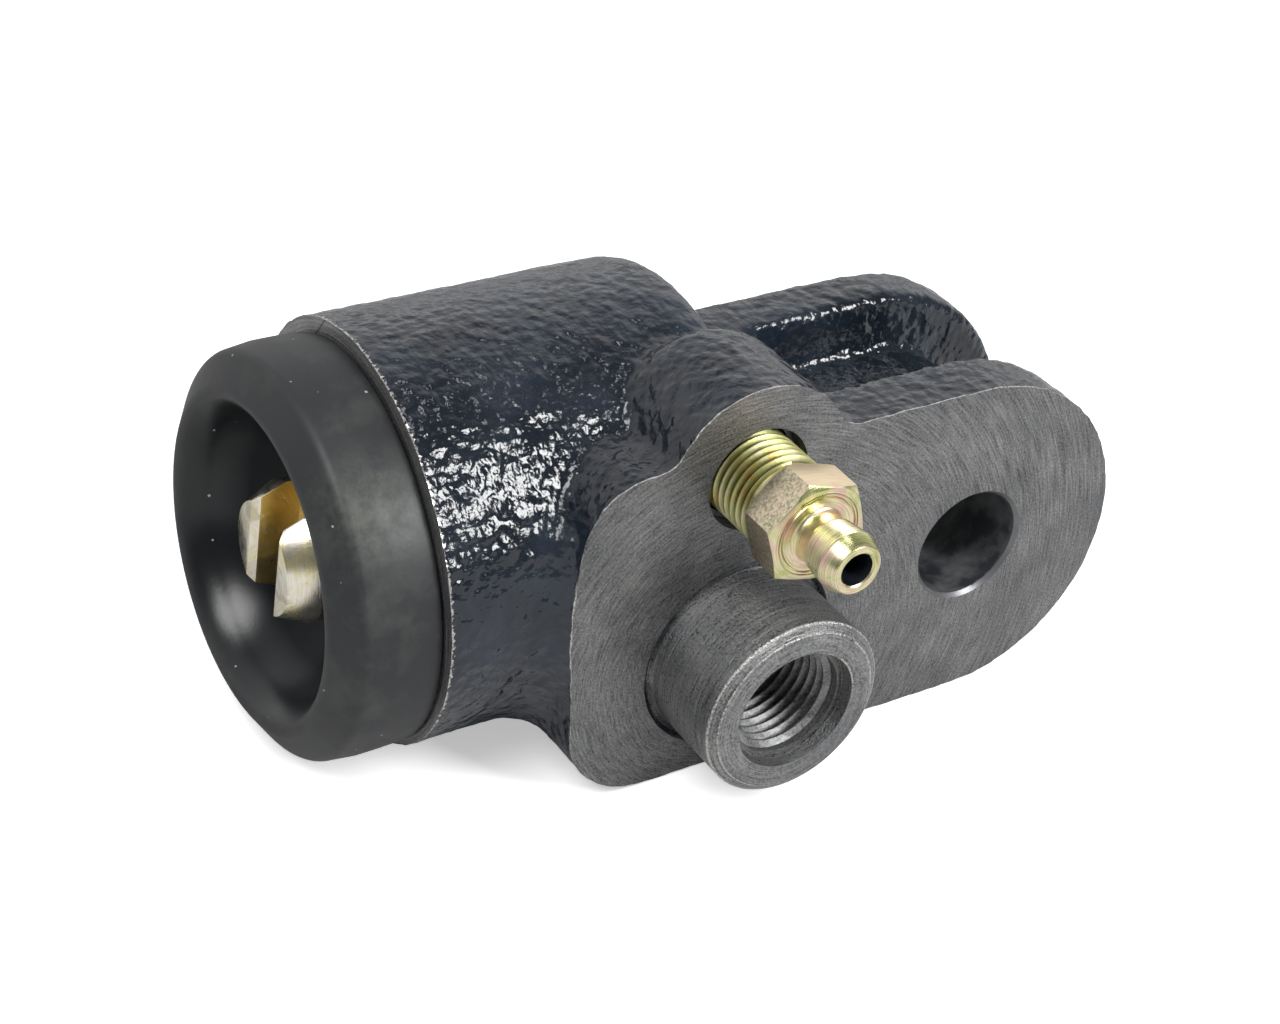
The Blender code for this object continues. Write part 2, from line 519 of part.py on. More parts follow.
def bleed_screw():
    """Bleed screw: coned seat, threaded shank, hexagon and drilled nipple."""
    hex_low = SCREW_THREAD_OUT
    hex_high = hex_low + SCREW_HEX_HEIGHT
    seat = SCREW_THREAD_IN - (SCREW_THREAD_RADIUS - PORT_RADIUS)
    barb = hex_high + SCREW_NECK_LENGTH
    corner = SCREW_HEX_FLATS / math.sqrt(3)
    past = corner + RUNNING_GAP
    profile = [(-SCREW_THREAD_IN, 0), (-SCREW_THREAD_IN, PORT_RADIUS), (-seat, SCREW_THREAD_RADIUS),
               (hex_low - SCREW_THREAD_LEAD, SCREW_THREAD_RADIUS), (hex_low, SCREW_CORE_RADIUS),
               (hex_high, SCREW_CORE_RADIUS), (hex_high, SCREW_NECK_RADIUS),
               (barb - SCREW_NECK_LEAD, SCREW_NECK_RADIUS), (barb, SCREW_BARB_RADIUS - SCREW_BARB_STEP),
               (barb + SCREW_BARB_LENGTH, SCREW_BARB_RADIUS),
               (SCREW_REACH - SCREW_TIP_EDGE, SCREW_TIP_RADIUS),
               (SCREW_REACH, SCREW_TIP_RADIUS - SCREW_TIP_EDGE), (SCREW_REACH, 0)]
    made = new_object("bleed_screw", turned(profile, 48, axis="-Y"), (INLET_X, 0, BLEED_HEIGHT))
    hexagon = [(corner * math.cos(SCREW_HEX_TURN + i * math.pi / 3),
                corner * math.sin(SCREW_HEX_TURN + i * math.pi / 3)) for i in range(6)]
    prism = new_object("hexagon_solid", slab(hexagon, -hex_high, -hex_low), made.location)
    inside = SCREW_CORE_RADIUS - TOUCH_GAP
    turned_corners = turned([(hex_low - CUT_PAST, inside), (hex_low - CUT_PAST, 2 * corner),
                             (hex_high + CUT_PAST, 2 * corner), (hex_high + CUT_PAST, inside),
                             (hex_high, SCREW_HEX_TOP_RADIUS), (hex_high - SCREW_HEX_TOP_ROUND, past),
                             (hex_low, past), (hex_low, inside)], 48, axis="-Y")
    ring = new_object("corner_lathe", turned_corners, made.location)
    boolean(prism, "turn the corners", "DIFFERENCE", as_cutter(ring))
    boolean(made, "hexagon", "UNION", as_cutter(prism))
    drill_end = -SCREW_DRILL_RADIUS * DRILL_CONE
    drill = turned([(drill_end, 0), (0, SCREW_DRILL_RADIUS), (SCREW_REACH + CUT_PAST, SCREW_DRILL_RADIUS),
                    (SCREW_REACH + CUT_PAST, 0)], 32, axis="-Y")
    boolean(made, "drilled passage", "DIFFERENCE", as_cutter(new_object("drill", drill, made.location)))
    finish(made, PLATED_STEEL)
    return made


def main():
    """Builds every piece of the wheel cylinder."""
    clear_scene()
    cylinder_body()
    piston()
    piston_seal()
    dust_boot()
    bleed_screw()


main()
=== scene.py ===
"""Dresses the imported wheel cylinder: its cast skin, machined faces, boot, piston, bleed screw and stage.

Lengths are in metres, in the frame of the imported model: the origin is on the milled mounting face,
X runs along the bore towards the lug, -Y points out of the mounting face and Z is up.
"""

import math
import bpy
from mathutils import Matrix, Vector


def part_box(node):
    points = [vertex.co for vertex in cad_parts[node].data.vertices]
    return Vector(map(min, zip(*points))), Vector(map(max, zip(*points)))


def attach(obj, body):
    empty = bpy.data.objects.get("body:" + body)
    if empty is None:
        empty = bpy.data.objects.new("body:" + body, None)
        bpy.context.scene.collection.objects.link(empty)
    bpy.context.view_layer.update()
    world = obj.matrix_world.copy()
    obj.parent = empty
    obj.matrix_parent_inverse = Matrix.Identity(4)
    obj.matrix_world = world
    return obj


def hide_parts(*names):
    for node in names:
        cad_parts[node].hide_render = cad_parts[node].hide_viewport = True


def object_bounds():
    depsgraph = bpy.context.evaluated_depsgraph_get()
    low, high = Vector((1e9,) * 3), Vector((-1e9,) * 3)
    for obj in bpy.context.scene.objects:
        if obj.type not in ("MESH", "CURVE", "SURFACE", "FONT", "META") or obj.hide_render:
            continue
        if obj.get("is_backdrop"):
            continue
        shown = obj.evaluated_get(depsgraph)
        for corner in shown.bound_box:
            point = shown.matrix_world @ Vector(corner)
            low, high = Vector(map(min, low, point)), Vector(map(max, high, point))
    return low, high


bl_info = {
    "name": "Wheel Cylinder",
    "version": (1, 0, 0),
    "blender": (4, 5, 0),
    "location": "3D View > Sidebar > Wheel Cylinder",
    "description": "Models and finishes a cast drum brake wheel cylinder",
    "category": "Object",
}

import bpy
import numpy as np
from bpy.props import FloatProperty, FloatVectorProperty, IntProperty, PointerProperty
from mathutils import Matrix, Vector

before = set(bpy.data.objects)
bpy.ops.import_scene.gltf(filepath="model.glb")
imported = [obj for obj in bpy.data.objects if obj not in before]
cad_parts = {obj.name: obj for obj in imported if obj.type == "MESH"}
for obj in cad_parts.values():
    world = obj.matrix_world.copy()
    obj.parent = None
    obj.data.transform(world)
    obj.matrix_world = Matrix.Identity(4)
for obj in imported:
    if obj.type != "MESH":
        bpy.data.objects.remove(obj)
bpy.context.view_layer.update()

MM = 0.001
TURN = 2 * math.pi


def hex_colour(text):
    """Turns an sRGB hex value into linear red, green and blue."""
    parts = [int(text[i:i + 2], 16) / 255 for i in (1, 3, 5)]
    return tuple(c / 12.92 if c <= 0.04045 else ((c + 0.055) / 1.055) ** 2.4 for c in parts)


def length(name, value, description):
    """A length property in metres."""
    return FloatProperty(name=name, default=value, min=0.0, subtype="DISTANCE", unit="LENGTH", precision=5,
                         description=description)


def colour(name, value, description):
    """A colour property given as an sRGB hex value."""
    return FloatVectorProperty(name=name, default=hex_colour(value), size=3, min=0.0, max=1.0, subtype="COLOR",
                               description=description)


class CastingSizes(bpy.types.PropertyGroup):
    """Sizes of the casting and its machined places."""

    bore_radius: length("Bore radius", 16.0 * MM, "Radius of the bore")
    cast_radius: length("Cast radius", 22.1 * MM, "Outer radius of the cast cylinder at its shoulder")
    face_to_bore: length("Face to bore", 24.0 * MM, "From the mounting face to the bore's axis")
    core_shift: length("Core shift", 0.5 * MM, "Height of the cast cylinder's axis above the bore's")
    voxel: length("Skin grain", 0.5 * MM, "Edge of the cells that blend the cast shells into one skin")
    softening: IntProperty(name="Softening", default=34, min=1, description="Passes that round the cast edges")
    pebble: length("Pebble depth", 0.14 * MM, "Depth of the sand-cast skin's pebbling")
    flange_top: length("Flange top", 16.1 * MM, "Height of the mounting face's upper edge")
    flange_drop: length("Flange drop", 21.8 * MM, "Depth of the mounting face's lower edge")
    boss_radius: length("Boss radius", 10.0 * MM, "Radius of the inlet boss")
    boss_height: length("Boss height", 10.6 * MM, "Height of the inlet boss above the mounting face")
    thread_radius: length("Inlet radius", 6.0 * MM, "Radius of the inlet's hole at the roots of its thread")
    thread_pitch: length("Inlet pitch", 1.2 * MM, "Pitch of the inlet's thread")


class BootSizes(bpy.types.PropertyGroup):
    """Sizes of the dust boot."""

    radius: length("Boot radius", 21.2 * MM, "Outer radius of the boot's skirt")
    mouth_radius: length("Mouth radius", 15.9 * MM, "Radius of the boot's open mouth")
    lip_radius: length("Lip radius", 1.3 * MM, "Radius of the rounded lip round the mouth")
    flare_radius: length("Flare radius", 6.0 * MM, "Radius of the flare between the lip and the bowl")
    crease_radius: length("Crease radius", 1.6 * MM, "Radius of the crease between the skirt and the coned front")
    funnel_depth: length("Funnel depth", 9.0 * MM, "Depth of the funnel between the lip and the stem")
    skin: length("Skin", 1.3 * MM, "Thickness of the funnel's wall")
    steps: IntProperty(name="Steps", default=160, min=24, description="Facets round the boot")


class ScrewSizes(bpy.types.PropertyGroup):
    """Sizes of the bleed screw."""

    thread_radius: length("Thread radius", 4.9 * MM, "Radius of the thread's crests")
    core_radius: length("Core radius", 4.3 * MM, "Radius of the thread's roots")
    pitch: length("Pitch", 1.0 * MM, "Distance from crest to crest")
    flats: length("Across flats", 10.2 * MM, "Width of the hexagon")
    reach: length("Reach", 16.8 * MM, "Height of the nipple's tip above the mounting face")


class FinishColours(bpy.types.PropertyGroup):
    """Colours of the finishes."""

    paint: colour("Paint", "#10161e", "Gloss black paint on the cast skin")
    paint_light: colour("Thin paint", "#1e2630", "The same paint where it is thin or dusty")
    shoulder: colour("Painted shoulder", "#2b2d31", "Paint over the turned shoulder")
    hole: colour("Thinly painted hole", "#666868", "Thin paint on the drilled wall of the bolt hole")
    shoulder_thin: colour("Thinly painted shoulder", "#3b3d3f", "The same paint where the metal greys it")
    iron: colour("Machined iron", "#949493", "Grey iron of the milled and turned faces")
    iron_dark: colour("Graphite grey", "#7a7b7d", "Darker patches in machined grey iron")
    iron_bright: colour("Bright iron", "#d2d0cb", "Iron rubbed bright on an edge")
    rubber: colour("Rubber", "#1b1c1f", "Moulded rubber of the boot's outside")
    # darkened to paint the shade in the boot's deep funnel
    funnel_rubber_and_shade: colour("Funnel rubber", "#0c0f12", "Moulded rubber inside the boot's funnel")
    # also paints the sheen of the key light's highlight on the skirt
    rubber_bloom_and_sheen: colour("Rubber bloom", "#474b43", "Greenish bloom and handling marks on the rubber")
    zinc: colour("Zinc", "#ece2b6", "Yellow passivated zinc")
    zinc_pink: colour("Pink zinc", "#f0d0bc", "Where the passivation turns pink")
    zinc_green: colour("Green zinc", "#d3d593", "Where the passivation turns green")
    zinc_pale: colour("Pale zinc", "#f2ecdd", "Thin passivation on the piston's stem")
    # also the deeper gold painted on the piston's slot walls as their reflection in each other
    zinc_deep_and_slot_reflection: colour("Deep zinc", "#dcc27c", "Thick golden passivation in the piston's slot")
    # paints the highlight on the hexagon's upward flat
    zinc_flat_highlight: colour("Bright flat", "#f2dcba", "Zinc over a bright flat of the hexagon")
    bar: colour("Drawn bar", "#d2c8ab", "Dull zinc on the flats of the hexagon")
    bar_dark: colour("Drawn bar shadow", "#948b76", "Darker mottling on the flats of the hexagon")


class StageSettings(bpy.types.PropertyGroup):
    """Floor, light and camera."""

    floor: colour("Floor", "#f4f4f4", "Pale studio floor")
    floor_mirrored: colour("Mirrored floor", "#c0c0c0", "The floor as the part's glossy surfaces mirror it")
    lens: FloatProperty(name="Lens", default=72.98, min=10.0, description="Focal length in millimetres")
    key_power: FloatProperty(name="Key light", default=5.2, min=0.0, description="Power of the key softbox in watts")
    sky: FloatProperty(name="Sky", default=0.28, min=0.0, description="Strength of the studio's surrounding light")
    ceiling: FloatProperty(name="Ceiling", default=0.16, min=0.0,
                           description="Strength of the dark room in reflections")
    backdrop: FloatProperty(name="Backdrop", default=1.0, min=0.0,
                            description="Strength of the backdrop in reflections")
    paper_lift: FloatProperty(name="Paper lift", default=0.45, min=0.0,
                              description="What the camera alone sees added to the floor, so that it is white")


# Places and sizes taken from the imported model
INLET = Vector((-14.25, 0, -8.3)) * MM
BLEED = Vector((-14.25, 0, 12.6)) * MM
BOLT = Vector((14.25, 0, -3.3)) * MM
SHOULDER_X = -46.25 * MM
MOUTH_X = -52.25 * MM
END_X = -9.25 * MM
FLANGE_LEFT = -33.55 * MM
LUG_TIP_X = 32.65 * MM
CHANNEL_ROOT_X = -2.75 * MM
FRONT_FLANGE = 7.0 * MM
REAR_FLANGE_Y = 19.7 * MM
LUG_BACK_Y = 26.0 * MM
ROUNDS = {"bottom left": 9.0 * MM, "bottom right": 17.8 * MM, "top right": 20.0 * MM, "top left": 7.0 * MM}
FLOOR_X = -12.45 * MM
TIP_X = -55.75 * MM
BOOT_FRONT_X = -57.45 * MM
STEM_RADIUS = 7.4 * MM
SPIGOT_RADIUS = 18.6 * MM
SPIGOT_GROOVE = (1.4 * MM, 2.2 * MM, 1.0 * MM)
PORT_RADIUS = 1.5 * MM
BOLT_HOLE_RADIUS = 6.2 * MM
BOLT_EDGE = 0.4 * MM
BLEED_RECESS = (5.7 * MM, 2.5 * MM)
CHAMFER_WIDTH = 1.0 * MM
CHAMFER_HEIGHT = 0.7 * MM
COUNTERBORE = (6.7 * MM, 1.6 * MM)
RELIEF = (1.05 * MM, 0.45 * MM)
GAP = 0.3 * MM

# How far a cutting tool runs past what it cuts, and the stock that is milled off the casting
PAST = 2.0 * MM
STOCK = 4.0 * MM
FAR = 120 * MM


# --- Working in Blender as by hand ---


def settle(name):
    """Names the active object and puts its place into its mesh."""
    piece = bpy.context.object
    piece.name = name
    piece.data.name = name
    bpy.ops.object.transform_apply(location=True, rotation=True, scale=True)
    return piece


def activate(piece):
    """Selects one piece alone."""
    bpy.ops.object.select_all(action="DESELECT")
    piece.select_set(True)
    bpy.context.view_layer.objects.active = piece


def apply_modifier(piece, kind, name, **settings):
    """Adds a modifier with its settings and applies it."""
    activate(piece)
    step = piece.modifiers.new(name, kind)
    for key, value in settings.items():
        setattr(step, key, value)
    bpy.ops.object.modifier_apply(modifier=step.name)


def cut(piece, tool, operation="DIFFERENCE", solver="MANIFOLD"):
    """Cuts a piece by a tool, or joins the tool to it, and removes the tool."""
    apply_modifier(piece, "BOOLEAN", "cut", object=tool, operation=operation, solver=solver)
    bpy.data.objects.remove(tool, do_unlink=True)


def lathe(name, profile, steps, place=(0, 0, 0), axis="X", ring=False):
    """Turns a solid as on a lathe: a circle is extruded and resized from ring to ring of (along, radius)."""
    bpy.ops.object.select_all(action="DESELECT")
    along, radius = profile[0]
    bpy.ops.mesh.primitive_circle_add(vertices=steps, radius=radius, fill_type="NOTHING" if ring else "NGON",
                                      location=(along, 0, 0), rotation=(0, math.pi / 2, 0))
    piece = settle(name)
    bpy.ops.object.mode_set(mode="EDIT")
    rings = profile[1:] + profile[:1] if ring else profile[1:]
    for next_along, next_radius in rings:
        bpy.ops.mesh.extrude_region_move(TRANSFORM_OT_translate={"value": (next_along - along, 0, 0)})
        grow = next_radius / radius
        bpy.ops.transform.resize(value=(1, grow, grow), center_override=(next_along, 0, 0))
        along, radius = next_along, next_radius
    bpy.ops.mesh.select_all(action="SELECT")
    if ring:
        bpy.ops.mesh.remove_doubles(threshold=0.002 * MM)
    bpy.ops.mesh.normals_make_consistent(inside=False)
    bpy.ops.object.mode_set(mode="OBJECT")
    piece.rotation_euler = (0, 0, -math.pi / 2) if axis == "-Y" else (0, 0, 0)
    piece.location = place
    return settle(name)


def arc(along, radius, size, start, end, steps):
    """Points (along, radius) on an arc of a lathe profile; angles in degrees from the axis's direction."""
    points = []
    for i in range(steps + 1):
        angle = math.radians(start + (end - start) * i / steps)
        points.append((along + size * math.cos(angle), radius + size * math.sin(angle)))
    return points


def pick(piece, wanted):
    """Opens a piece in edit mode with the corners selected that pass a test."""
    activate(piece)
    mesh = piece.data
    inside = [wanted(vertex.co) for vertex in mesh.vertices]
    for vertex, picked in zip(mesh.vertices, inside):
        vertex.select = picked
    for part in (*mesh.edges, *mesh.polygons):
        part.select = all(inside[corner] for corner in part.vertices)
    bpy.ops.object.mode_set(mode="EDIT")


def resize(piece, wanted, value, centre):
    """Resizes the corners of a piece that pass a test about a centre."""
    pick(piece, wanted)
    bpy.ops.transform.resize(value=value, center_override=centre)
    bpy.ops.object.mode_set(mode="OBJECT")


def plate(name, low, high, rounds, steps=14):
    """A cube brought to size, whose edges along Y are bevelled to their own radii."""
    low = Vector(low)
    high = Vector(high)
    bpy.ops.object.select_all(action="DESELECT")
    bpy.ops.mesh.primitive_cube_add(size=1, location=(low + high) / 2, scale=high - low)
    piece = settle(name)
    corners = ((low.x, low.z), (high.x, low.z), (high.x, high.z), (low.x, high.z))
    for (x, z), radius in zip(corners, rounds):
        pick(piece, lambda co: math.hypot(co.x - x, co.z - z) < 0.001 * MM)
        bpy.ops.mesh.select_mode(type="EDGE")
        bpy.ops.mesh.bevel(offset=radius, segments=steps, affect="EDGES", clamp_overlap=False)
        bpy.ops.mesh.select_mode(type="VERT")
        bpy.ops.object.mode_set(mode="OBJECT")
    return piece


def join(pieces):
    """Joins pieces into the first."""
    activate(pieces[0])
    for piece in pieces[1:]:
        piece.select_set(True)
    bpy.ops.object.join()
    return pieces[0]


def smooth_by_angle(piece, degrees):
    """Shades a piece smooth up to an angle between its faces."""
    activate(piece)
    bpy.ops.object.shade_smooth_by_angle(angle=math.radians(degrees))


def face_places(piece):
    """Centres and normals of a piece's faces as arrays."""
    count = len(piece.data.polygons)
    centres = np.empty(count * 3)
    normals = np.empty(count * 3)
    piece.data.polygons.foreach_get("center", centres)
    piece.data.polygons.foreach_get("normal", normals)
    return centres.reshape(-1, 3), normals.reshape(-1, 3)


def thread_ridge(name, root, crest, pitch, turns, start, place, steps=56):
    """A helical ridge: a small section screwed along -Y from start, its ends closed."""
    bpy.ops.object.select_all(action="DESELECT")
    bpy.ops.mesh.primitive_plane_add(size=1, location=(0, -start, (root + crest) / 2), rotation=(0, math.pi / 2, 0))
    bpy.ops.transform.resize(value=(1, 0.92 * pitch, crest - root))
    piece = settle(name)
    at_crest = crest + (root - crest) * 0.1
    crest_flat = 0.13
    resize(piece, lambda co: (co.z > at_crest) == (crest > root), (1, crest_flat, 1), (0, -start, crest))
    apply_modifier(piece, "SCREW", "thread", axis="Y", angle=TURN, screw_offset=-pitch, iterations=turns,
                   steps=steps, render_steps=steps, use_smooth_shade=True)
    activate(piece)
    bpy.ops.object.mode_set(mode="EDIT")
    bpy.ops.mesh.select_mode(type="VERT")
    bpy.ops.mesh.select_all(action="DESELECT")
    bpy.ops.mesh.select_non_manifold()
    bpy.ops.mesh.edge_face_add()
    bpy.ops.mesh.select_all(action="SELECT")
    bpy.ops.mesh.normals_make_consistent(inside=False)
    bpy.ops.object.mode_set(mode="OBJECT")
    piece.location = place
    return settle(name)


# --- Materials ---


def wire(tree, node, inputs):
    """Sets a node's properties and inputs; a socket, or a node for its output in use, is linked to an input."""
    for key, value in inputs.items():
        if isinstance(key, str) and hasattr(node, key):
            setattr(node, key, value)
            continue
        socket = node.inputs[key]
        if isinstance(value, bpy.types.Node):
            value = next(output for output in value.outputs if output.enabled)
        if isinstance(value, bpy.types.NodeSocket):
            tree.links.new(value, socket)
        else:
            socket.default_value = (*value, 1) if socket.type == "RGBA" else value


def add(tree, kind, inputs=None):
    """Adds a shader node, with its properties and its inputs by name or number.

    Math has its values at 0 to 2. MapRange has its value at 0, the range it comes from at 1 and 2, and
    the range it goes to, 0 to 1 unless given, at 3 and 4. Mix has its factor at 0 and what it mixes at
    2 and 3 for numbers or at 6 and 7 for colours.
    """
    made = tree.nodes.new("ShaderNode" + kind)
    wire(tree, made, inputs or {})
    return made


def start_material(name):
    """Returns a new material with its node tree, Principled shader and object coordinates."""
    made = bpy.data.materials.new(name)
    made.use_nodes = True
    tree = made.node_tree
    return made, tree, tree.nodes["Principled BSDF"], add(tree, "TexCoord").outputs["Object"]


def tool_marks(tree, place, centre, along, feed, breaks):
    """Returns the fine rings that a tool feeds round an axis, the distance from it and the depth along it."""
    first, middle, second = (1, 0, 2) if along == "X" else (0, 1, 2)
    flat = (0, 1, 1) if along == "X" else (1, 0, 1)
    centred = add(tree, "VectorMath", {"operation": "SUBTRACT", 0: place, 1: tuple(centre)})
    across = add(tree, "VectorMath", {"operation": "MULTIPLY", 0: centred, 1: flat})
    radius = add(tree, "VectorMath", {"operation": "LENGTH", 0: across})
    unit = add(tree, "VectorMath", {"operation": "NORMALIZE", 0: across})
    round_it = add(tree, "VectorMath", {"operation": "SCALE", 0: unit, "Scale": breaks})
    turn = add(tree, "SeparateXYZ", {0: round_it})
    depth = add(tree, "SeparateXYZ", {0: centred}).outputs[middle]
    fed = add(tree, "Math", {"operation": "MULTIPLY_ADD", 0: depth, 1: 1.7, 2: radius})
    fed = add(tree, "Math", {"operation": "DIVIDE", 0: fed, 1: feed})
    where = add(tree, "CombineXYZ", {0: fed, 1: turn.outputs[first], 2: turn.outputs[second]})
    marks = add(tree, "TexNoise", {"Scale": 1.0, "Detail": 3.0, "Roughness": 0.6, "Vector": where})
    return marks, radius, depth


def between(tree, value, low, high, soft):
    """One where a value lies between two bounds, falling softly to zero outside them."""
    rise = add(tree, "MapRange", {0: value, 1: low - soft, 2: low})
    fall = add(tree, "MapRange", {0: value, 1: high, 2: high + soft, 3: 1.0, 4: 0.0})
    return add(tree, "Math", {"operation": "MULTIPLY", 0: rise, 1: fall})


def spots(tree, place, spacing, least, largest):
    """Sparse round spots: one to a cell of the given spacing, left out below a share of the cells."""
    cells = add(tree, "TexVoronoi", {"feature": "F1", "Scale": 1 / spacing, "Vector": place})
    chance = add(tree, "SeparateColor", {0: cells.outputs["Color"]})
    size = add(tree, "MapRange", {0: chance, 1: least, 2: 1.0, 3: 0.0, 4: largest / spacing})
    return add(tree, "Math", {"operation": "LESS_THAN", 0: cells.outputs["Distance"], 1: size})


def painted_sand_casting():
    """Gloss black enamel flowed over a sand-cast skin: wet-looking pebbles of about 1 mm with crisp glints."""
    colours = bpy.context.scene.wheel_cylinder_colours
    made, tree, shader, place = start_material("enamelled_sand_casting")
    lumps = add(tree, "TexNoise", {"Scale": 1 / (1.6 * MM), "Detail": 2.5, "Roughness": 0.45, "Vector": place})
    pebbles = add(tree, "TexVoronoi", {"feature": "SMOOTH_F1", "Scale": 1 / (1.1 * MM), "Smoothness": 0.8,
                                       "Vector": place})
    fine = add(tree, "TexNoise", {"Scale": 1 / (0.3 * MM), "Detail": 2.0, "Vector": place})
    height = add(tree, "Math", {"operation": "MULTIPLY_ADD", 0: pebbles.outputs["Distance"], 1: -0.5, 2: lumps})
    height = add(tree, "Math", {"operation": "MULTIPLY_ADD", 0: fine, 1: 0.06, 2: height})
    bump = add(tree, "Bump", {"Strength": 1.0, "Distance": 0.37 * MM, "Height": height})
    patches = add(tree, "TexNoise", {"Scale": 1 / (9 * MM), "Detail": 4.0, "Vector": place})
    patch = add(tree, "MapRange", {0: patches, 1: 0.45, 2: 0.72})
    paint = add(tree, "Mix", {"data_type": "RGBA", 0: patch, 6: colours.paint, 7: colours.paint_light})
    # bright iron shows in a ragged line of 0.1 to 0.2 mm along the milled edge and in specks round the shoulder
    axes = add(tree, "SeparateXYZ", {0: place})
    ragged = add(tree, "Math", {"operation": "MULTIPLY_ADD", 0: lumps, 1: -0.45 * MM, 2: axes.outputs[1]})
    broken = add(tree, "MapRange", {0: fine, 1: 0.40, 2: 0.60, 3: 0.35, 4: 1.0})
    milled = add(tree, "MapRange", {0: ragged, 1: -0.14 * MM, 2: -0.04 * MM, 3: broken, 4: 0.0})
    speckled = add(tree, "Math", {"operation": "MULTIPLY_ADD", 0: fine, 1: -1.3 * MM, 2: axes.outputs[0]})
    turned = add(tree, "MapRange", {0: speckled, 1: SHOULDER_X - 0.56 * MM, 2: SHOULDER_X - 0.44 * MM,
                                    3: 0.6, 4: 0.0})
    edge = add(tree, "Math", {"operation": "MAXIMUM", 0: milled, 1: turned})
    worn = add(tree, "Mix", {"data_type": "RGBA", 0: edge, 6: paint, 7: colours.iron_bright})
    rough = add(tree, "MapRange", {0: patches, 1: 0.35, 2: 0.7, 3: 0.13, 4: 0.24})
    wire(tree, shader, {"Base Color": worn, "Metallic": edge, "Roughness": rough, "IOR": 1.53, "Normal": bump})
    return made


def machined_iron(name, centre, along, feed, breaks, mark_depth, tone=1.0, worn=(), relief_shade=None, shine=(0.36, 0.56)):
    """Machined grey iron: dull metal with the tool's rings, graphite speckle, dark pores, worn edges and painted
    shade in a relief.
    """
    colours = bpy.context.scene.wheel_cylinder_colours
    made, tree, shader, place = start_material(name)
    marks, radius, depth = tool_marks(tree, place, centre, along, feed, breaks)
    speckle = add(tree, "TexNoise", {"Scale": 1 / (0.25 * MM), "Detail": 2.0, "Roughness": 0.7, "Vector": place})
    patches = add(tree, "TexNoise", {"Scale": 1 / (6 * MM), "Detail": 3.0, "Roughness": 0.55, "Vector": place})
    patch = add(tree, "MapRange", {0: patches, 1: 0.3, 2: 0.75})
    base = add(tree, "Mix", {"data_type": "RGBA", 0: patch, 6: colours.iron, 7: colours.iron_dark})
    both = add(tree, "Math", {"operation": "ADD", 0: marks, 1: speckle})
    light = add(tree, "MapRange", {0: both, 1: 0.7, 2: 1.3, 3: 0.3 * tone, 4: 1.7 * tone})
    base = add(tree, "Mix", {"data_type": "RGBA", "blend_type": "MULTIPLY", 0: 1.0, 6: base, 7: light})
    pore = spots(tree, place, 3.4 * MM, 0.66, 0.26 * MM)
    base = add(tree, "Mix", {"data_type": "RGBA", 0: pore, 6: base, 7: (0.01, 0.01, 0.01)})
    if relief_shade:
        # painted shade: the relief round the boss is darkened unevenly towards the painted shoulder's colour
        shaded = between(tree, radius, *relief_shade, 0.2 * MM)
        shade_depth = add(tree, "MapRange", {0: patches, 1: 0.3, 2: 0.6, 3: 0.2, 4: 0.8})
        shaded = add(tree, "Math", {"operation": "MULTIPLY", 0: shaded, 1: shade_depth})
        base = add(tree, "Mix", {"data_type": "RGBA", 0: shaded, 6: base, 7: colours.shoulder})
    rough = add(tree, "MapRange", {0: both, 1: 0.65, 2: 1.35, 3: shine[0], 4: shine[1]})
    edge = None
    for kind, low, high in worn:
        line = between(tree, radius if kind == "radius" else depth, low, high, 0.06 * MM)
        if kind == "depth":
            # the counterbore's wall is left out
            outside = add(tree, "Math", {"operation": "GREATER_THAN", 0: radius, 1: COUNTERBORE[0] + MM})
            line = add(tree, "Math", {"operation": "MULTIPLY", 0: line, 1: outside})
        edge = add(tree, "Math", {"operation": "MAXIMUM", 0: edge or 0.0, 1: line})
    if edge:
        ragged = add(tree, "MapRange", {0: speckle, 1: 0.38, 2: 0.58, 3: 0.1, 4: 0.75})
        edge = add(tree, "Math", {"operation": "MULTIPLY", 0: edge, 1: ragged})
        base = add(tree, "Mix", {"data_type": "RGBA", 0: edge, 6: base, 7: colours.iron_bright})
    bump = add(tree, "Bump", {"Strength": 0.6, "Distance": mark_depth, "Height": both})
    wire(tree, shader, {"Base Color": base, "Metallic": 0.85, "Roughness": rough, "Normal": bump})
    return made


def painted_turned_iron(name, centre, along, feed, dark, light, rubbed=0.0):
    """Black enamel over turned iron: satin, its fine rings half filled, and rubbed to bare metal at a rim."""
    colours = bpy.context.scene.wheel_cylinder_colours
    made, tree, shader, place = start_material(name)
    marks, _, depth = tool_marks(tree, place, centre, along, feed, 1.5)
    patches = add(tree, "TexNoise", {"Scale": 1 / (3.5 * MM), "Detail": 4.0, "Roughness": 0.6, "Vector": place})
    thin = add(tree, "MapRange", {0: patches, 1: 0.4, 2: 0.75})
    base = add(tree, "Mix", {"data_type": "RGBA", 0: thin, 6: dark, 7: light})
    if rubbed:
        # the paint is rubbed off in a ragged crescent at the mouth of the hole
        ragged = add(tree, "Math", {"operation": "MULTIPLY_ADD", 0: patches, 1: -2.6 * rubbed, 2: depth})
        bare = add(tree, "MapRange", {0: ragged, 1: -0.55 * rubbed, 2: -0.3 * rubbed, 3: 0.55, 4: 0.0})
        base = add(tree, "Mix", {"data_type": "RGBA", 0: bare, 6: base, 7: colours.iron_dark})
        wire(tree, shader, {"Metallic": bare})
    bump = add(tree, "Bump", {"Strength": 0.5, "Distance": 0.04 * MM, "Height": marks})
    wire(tree, shader, {"Base Color": base, "Roughness": 0.34, "Normal": bump})
    return made


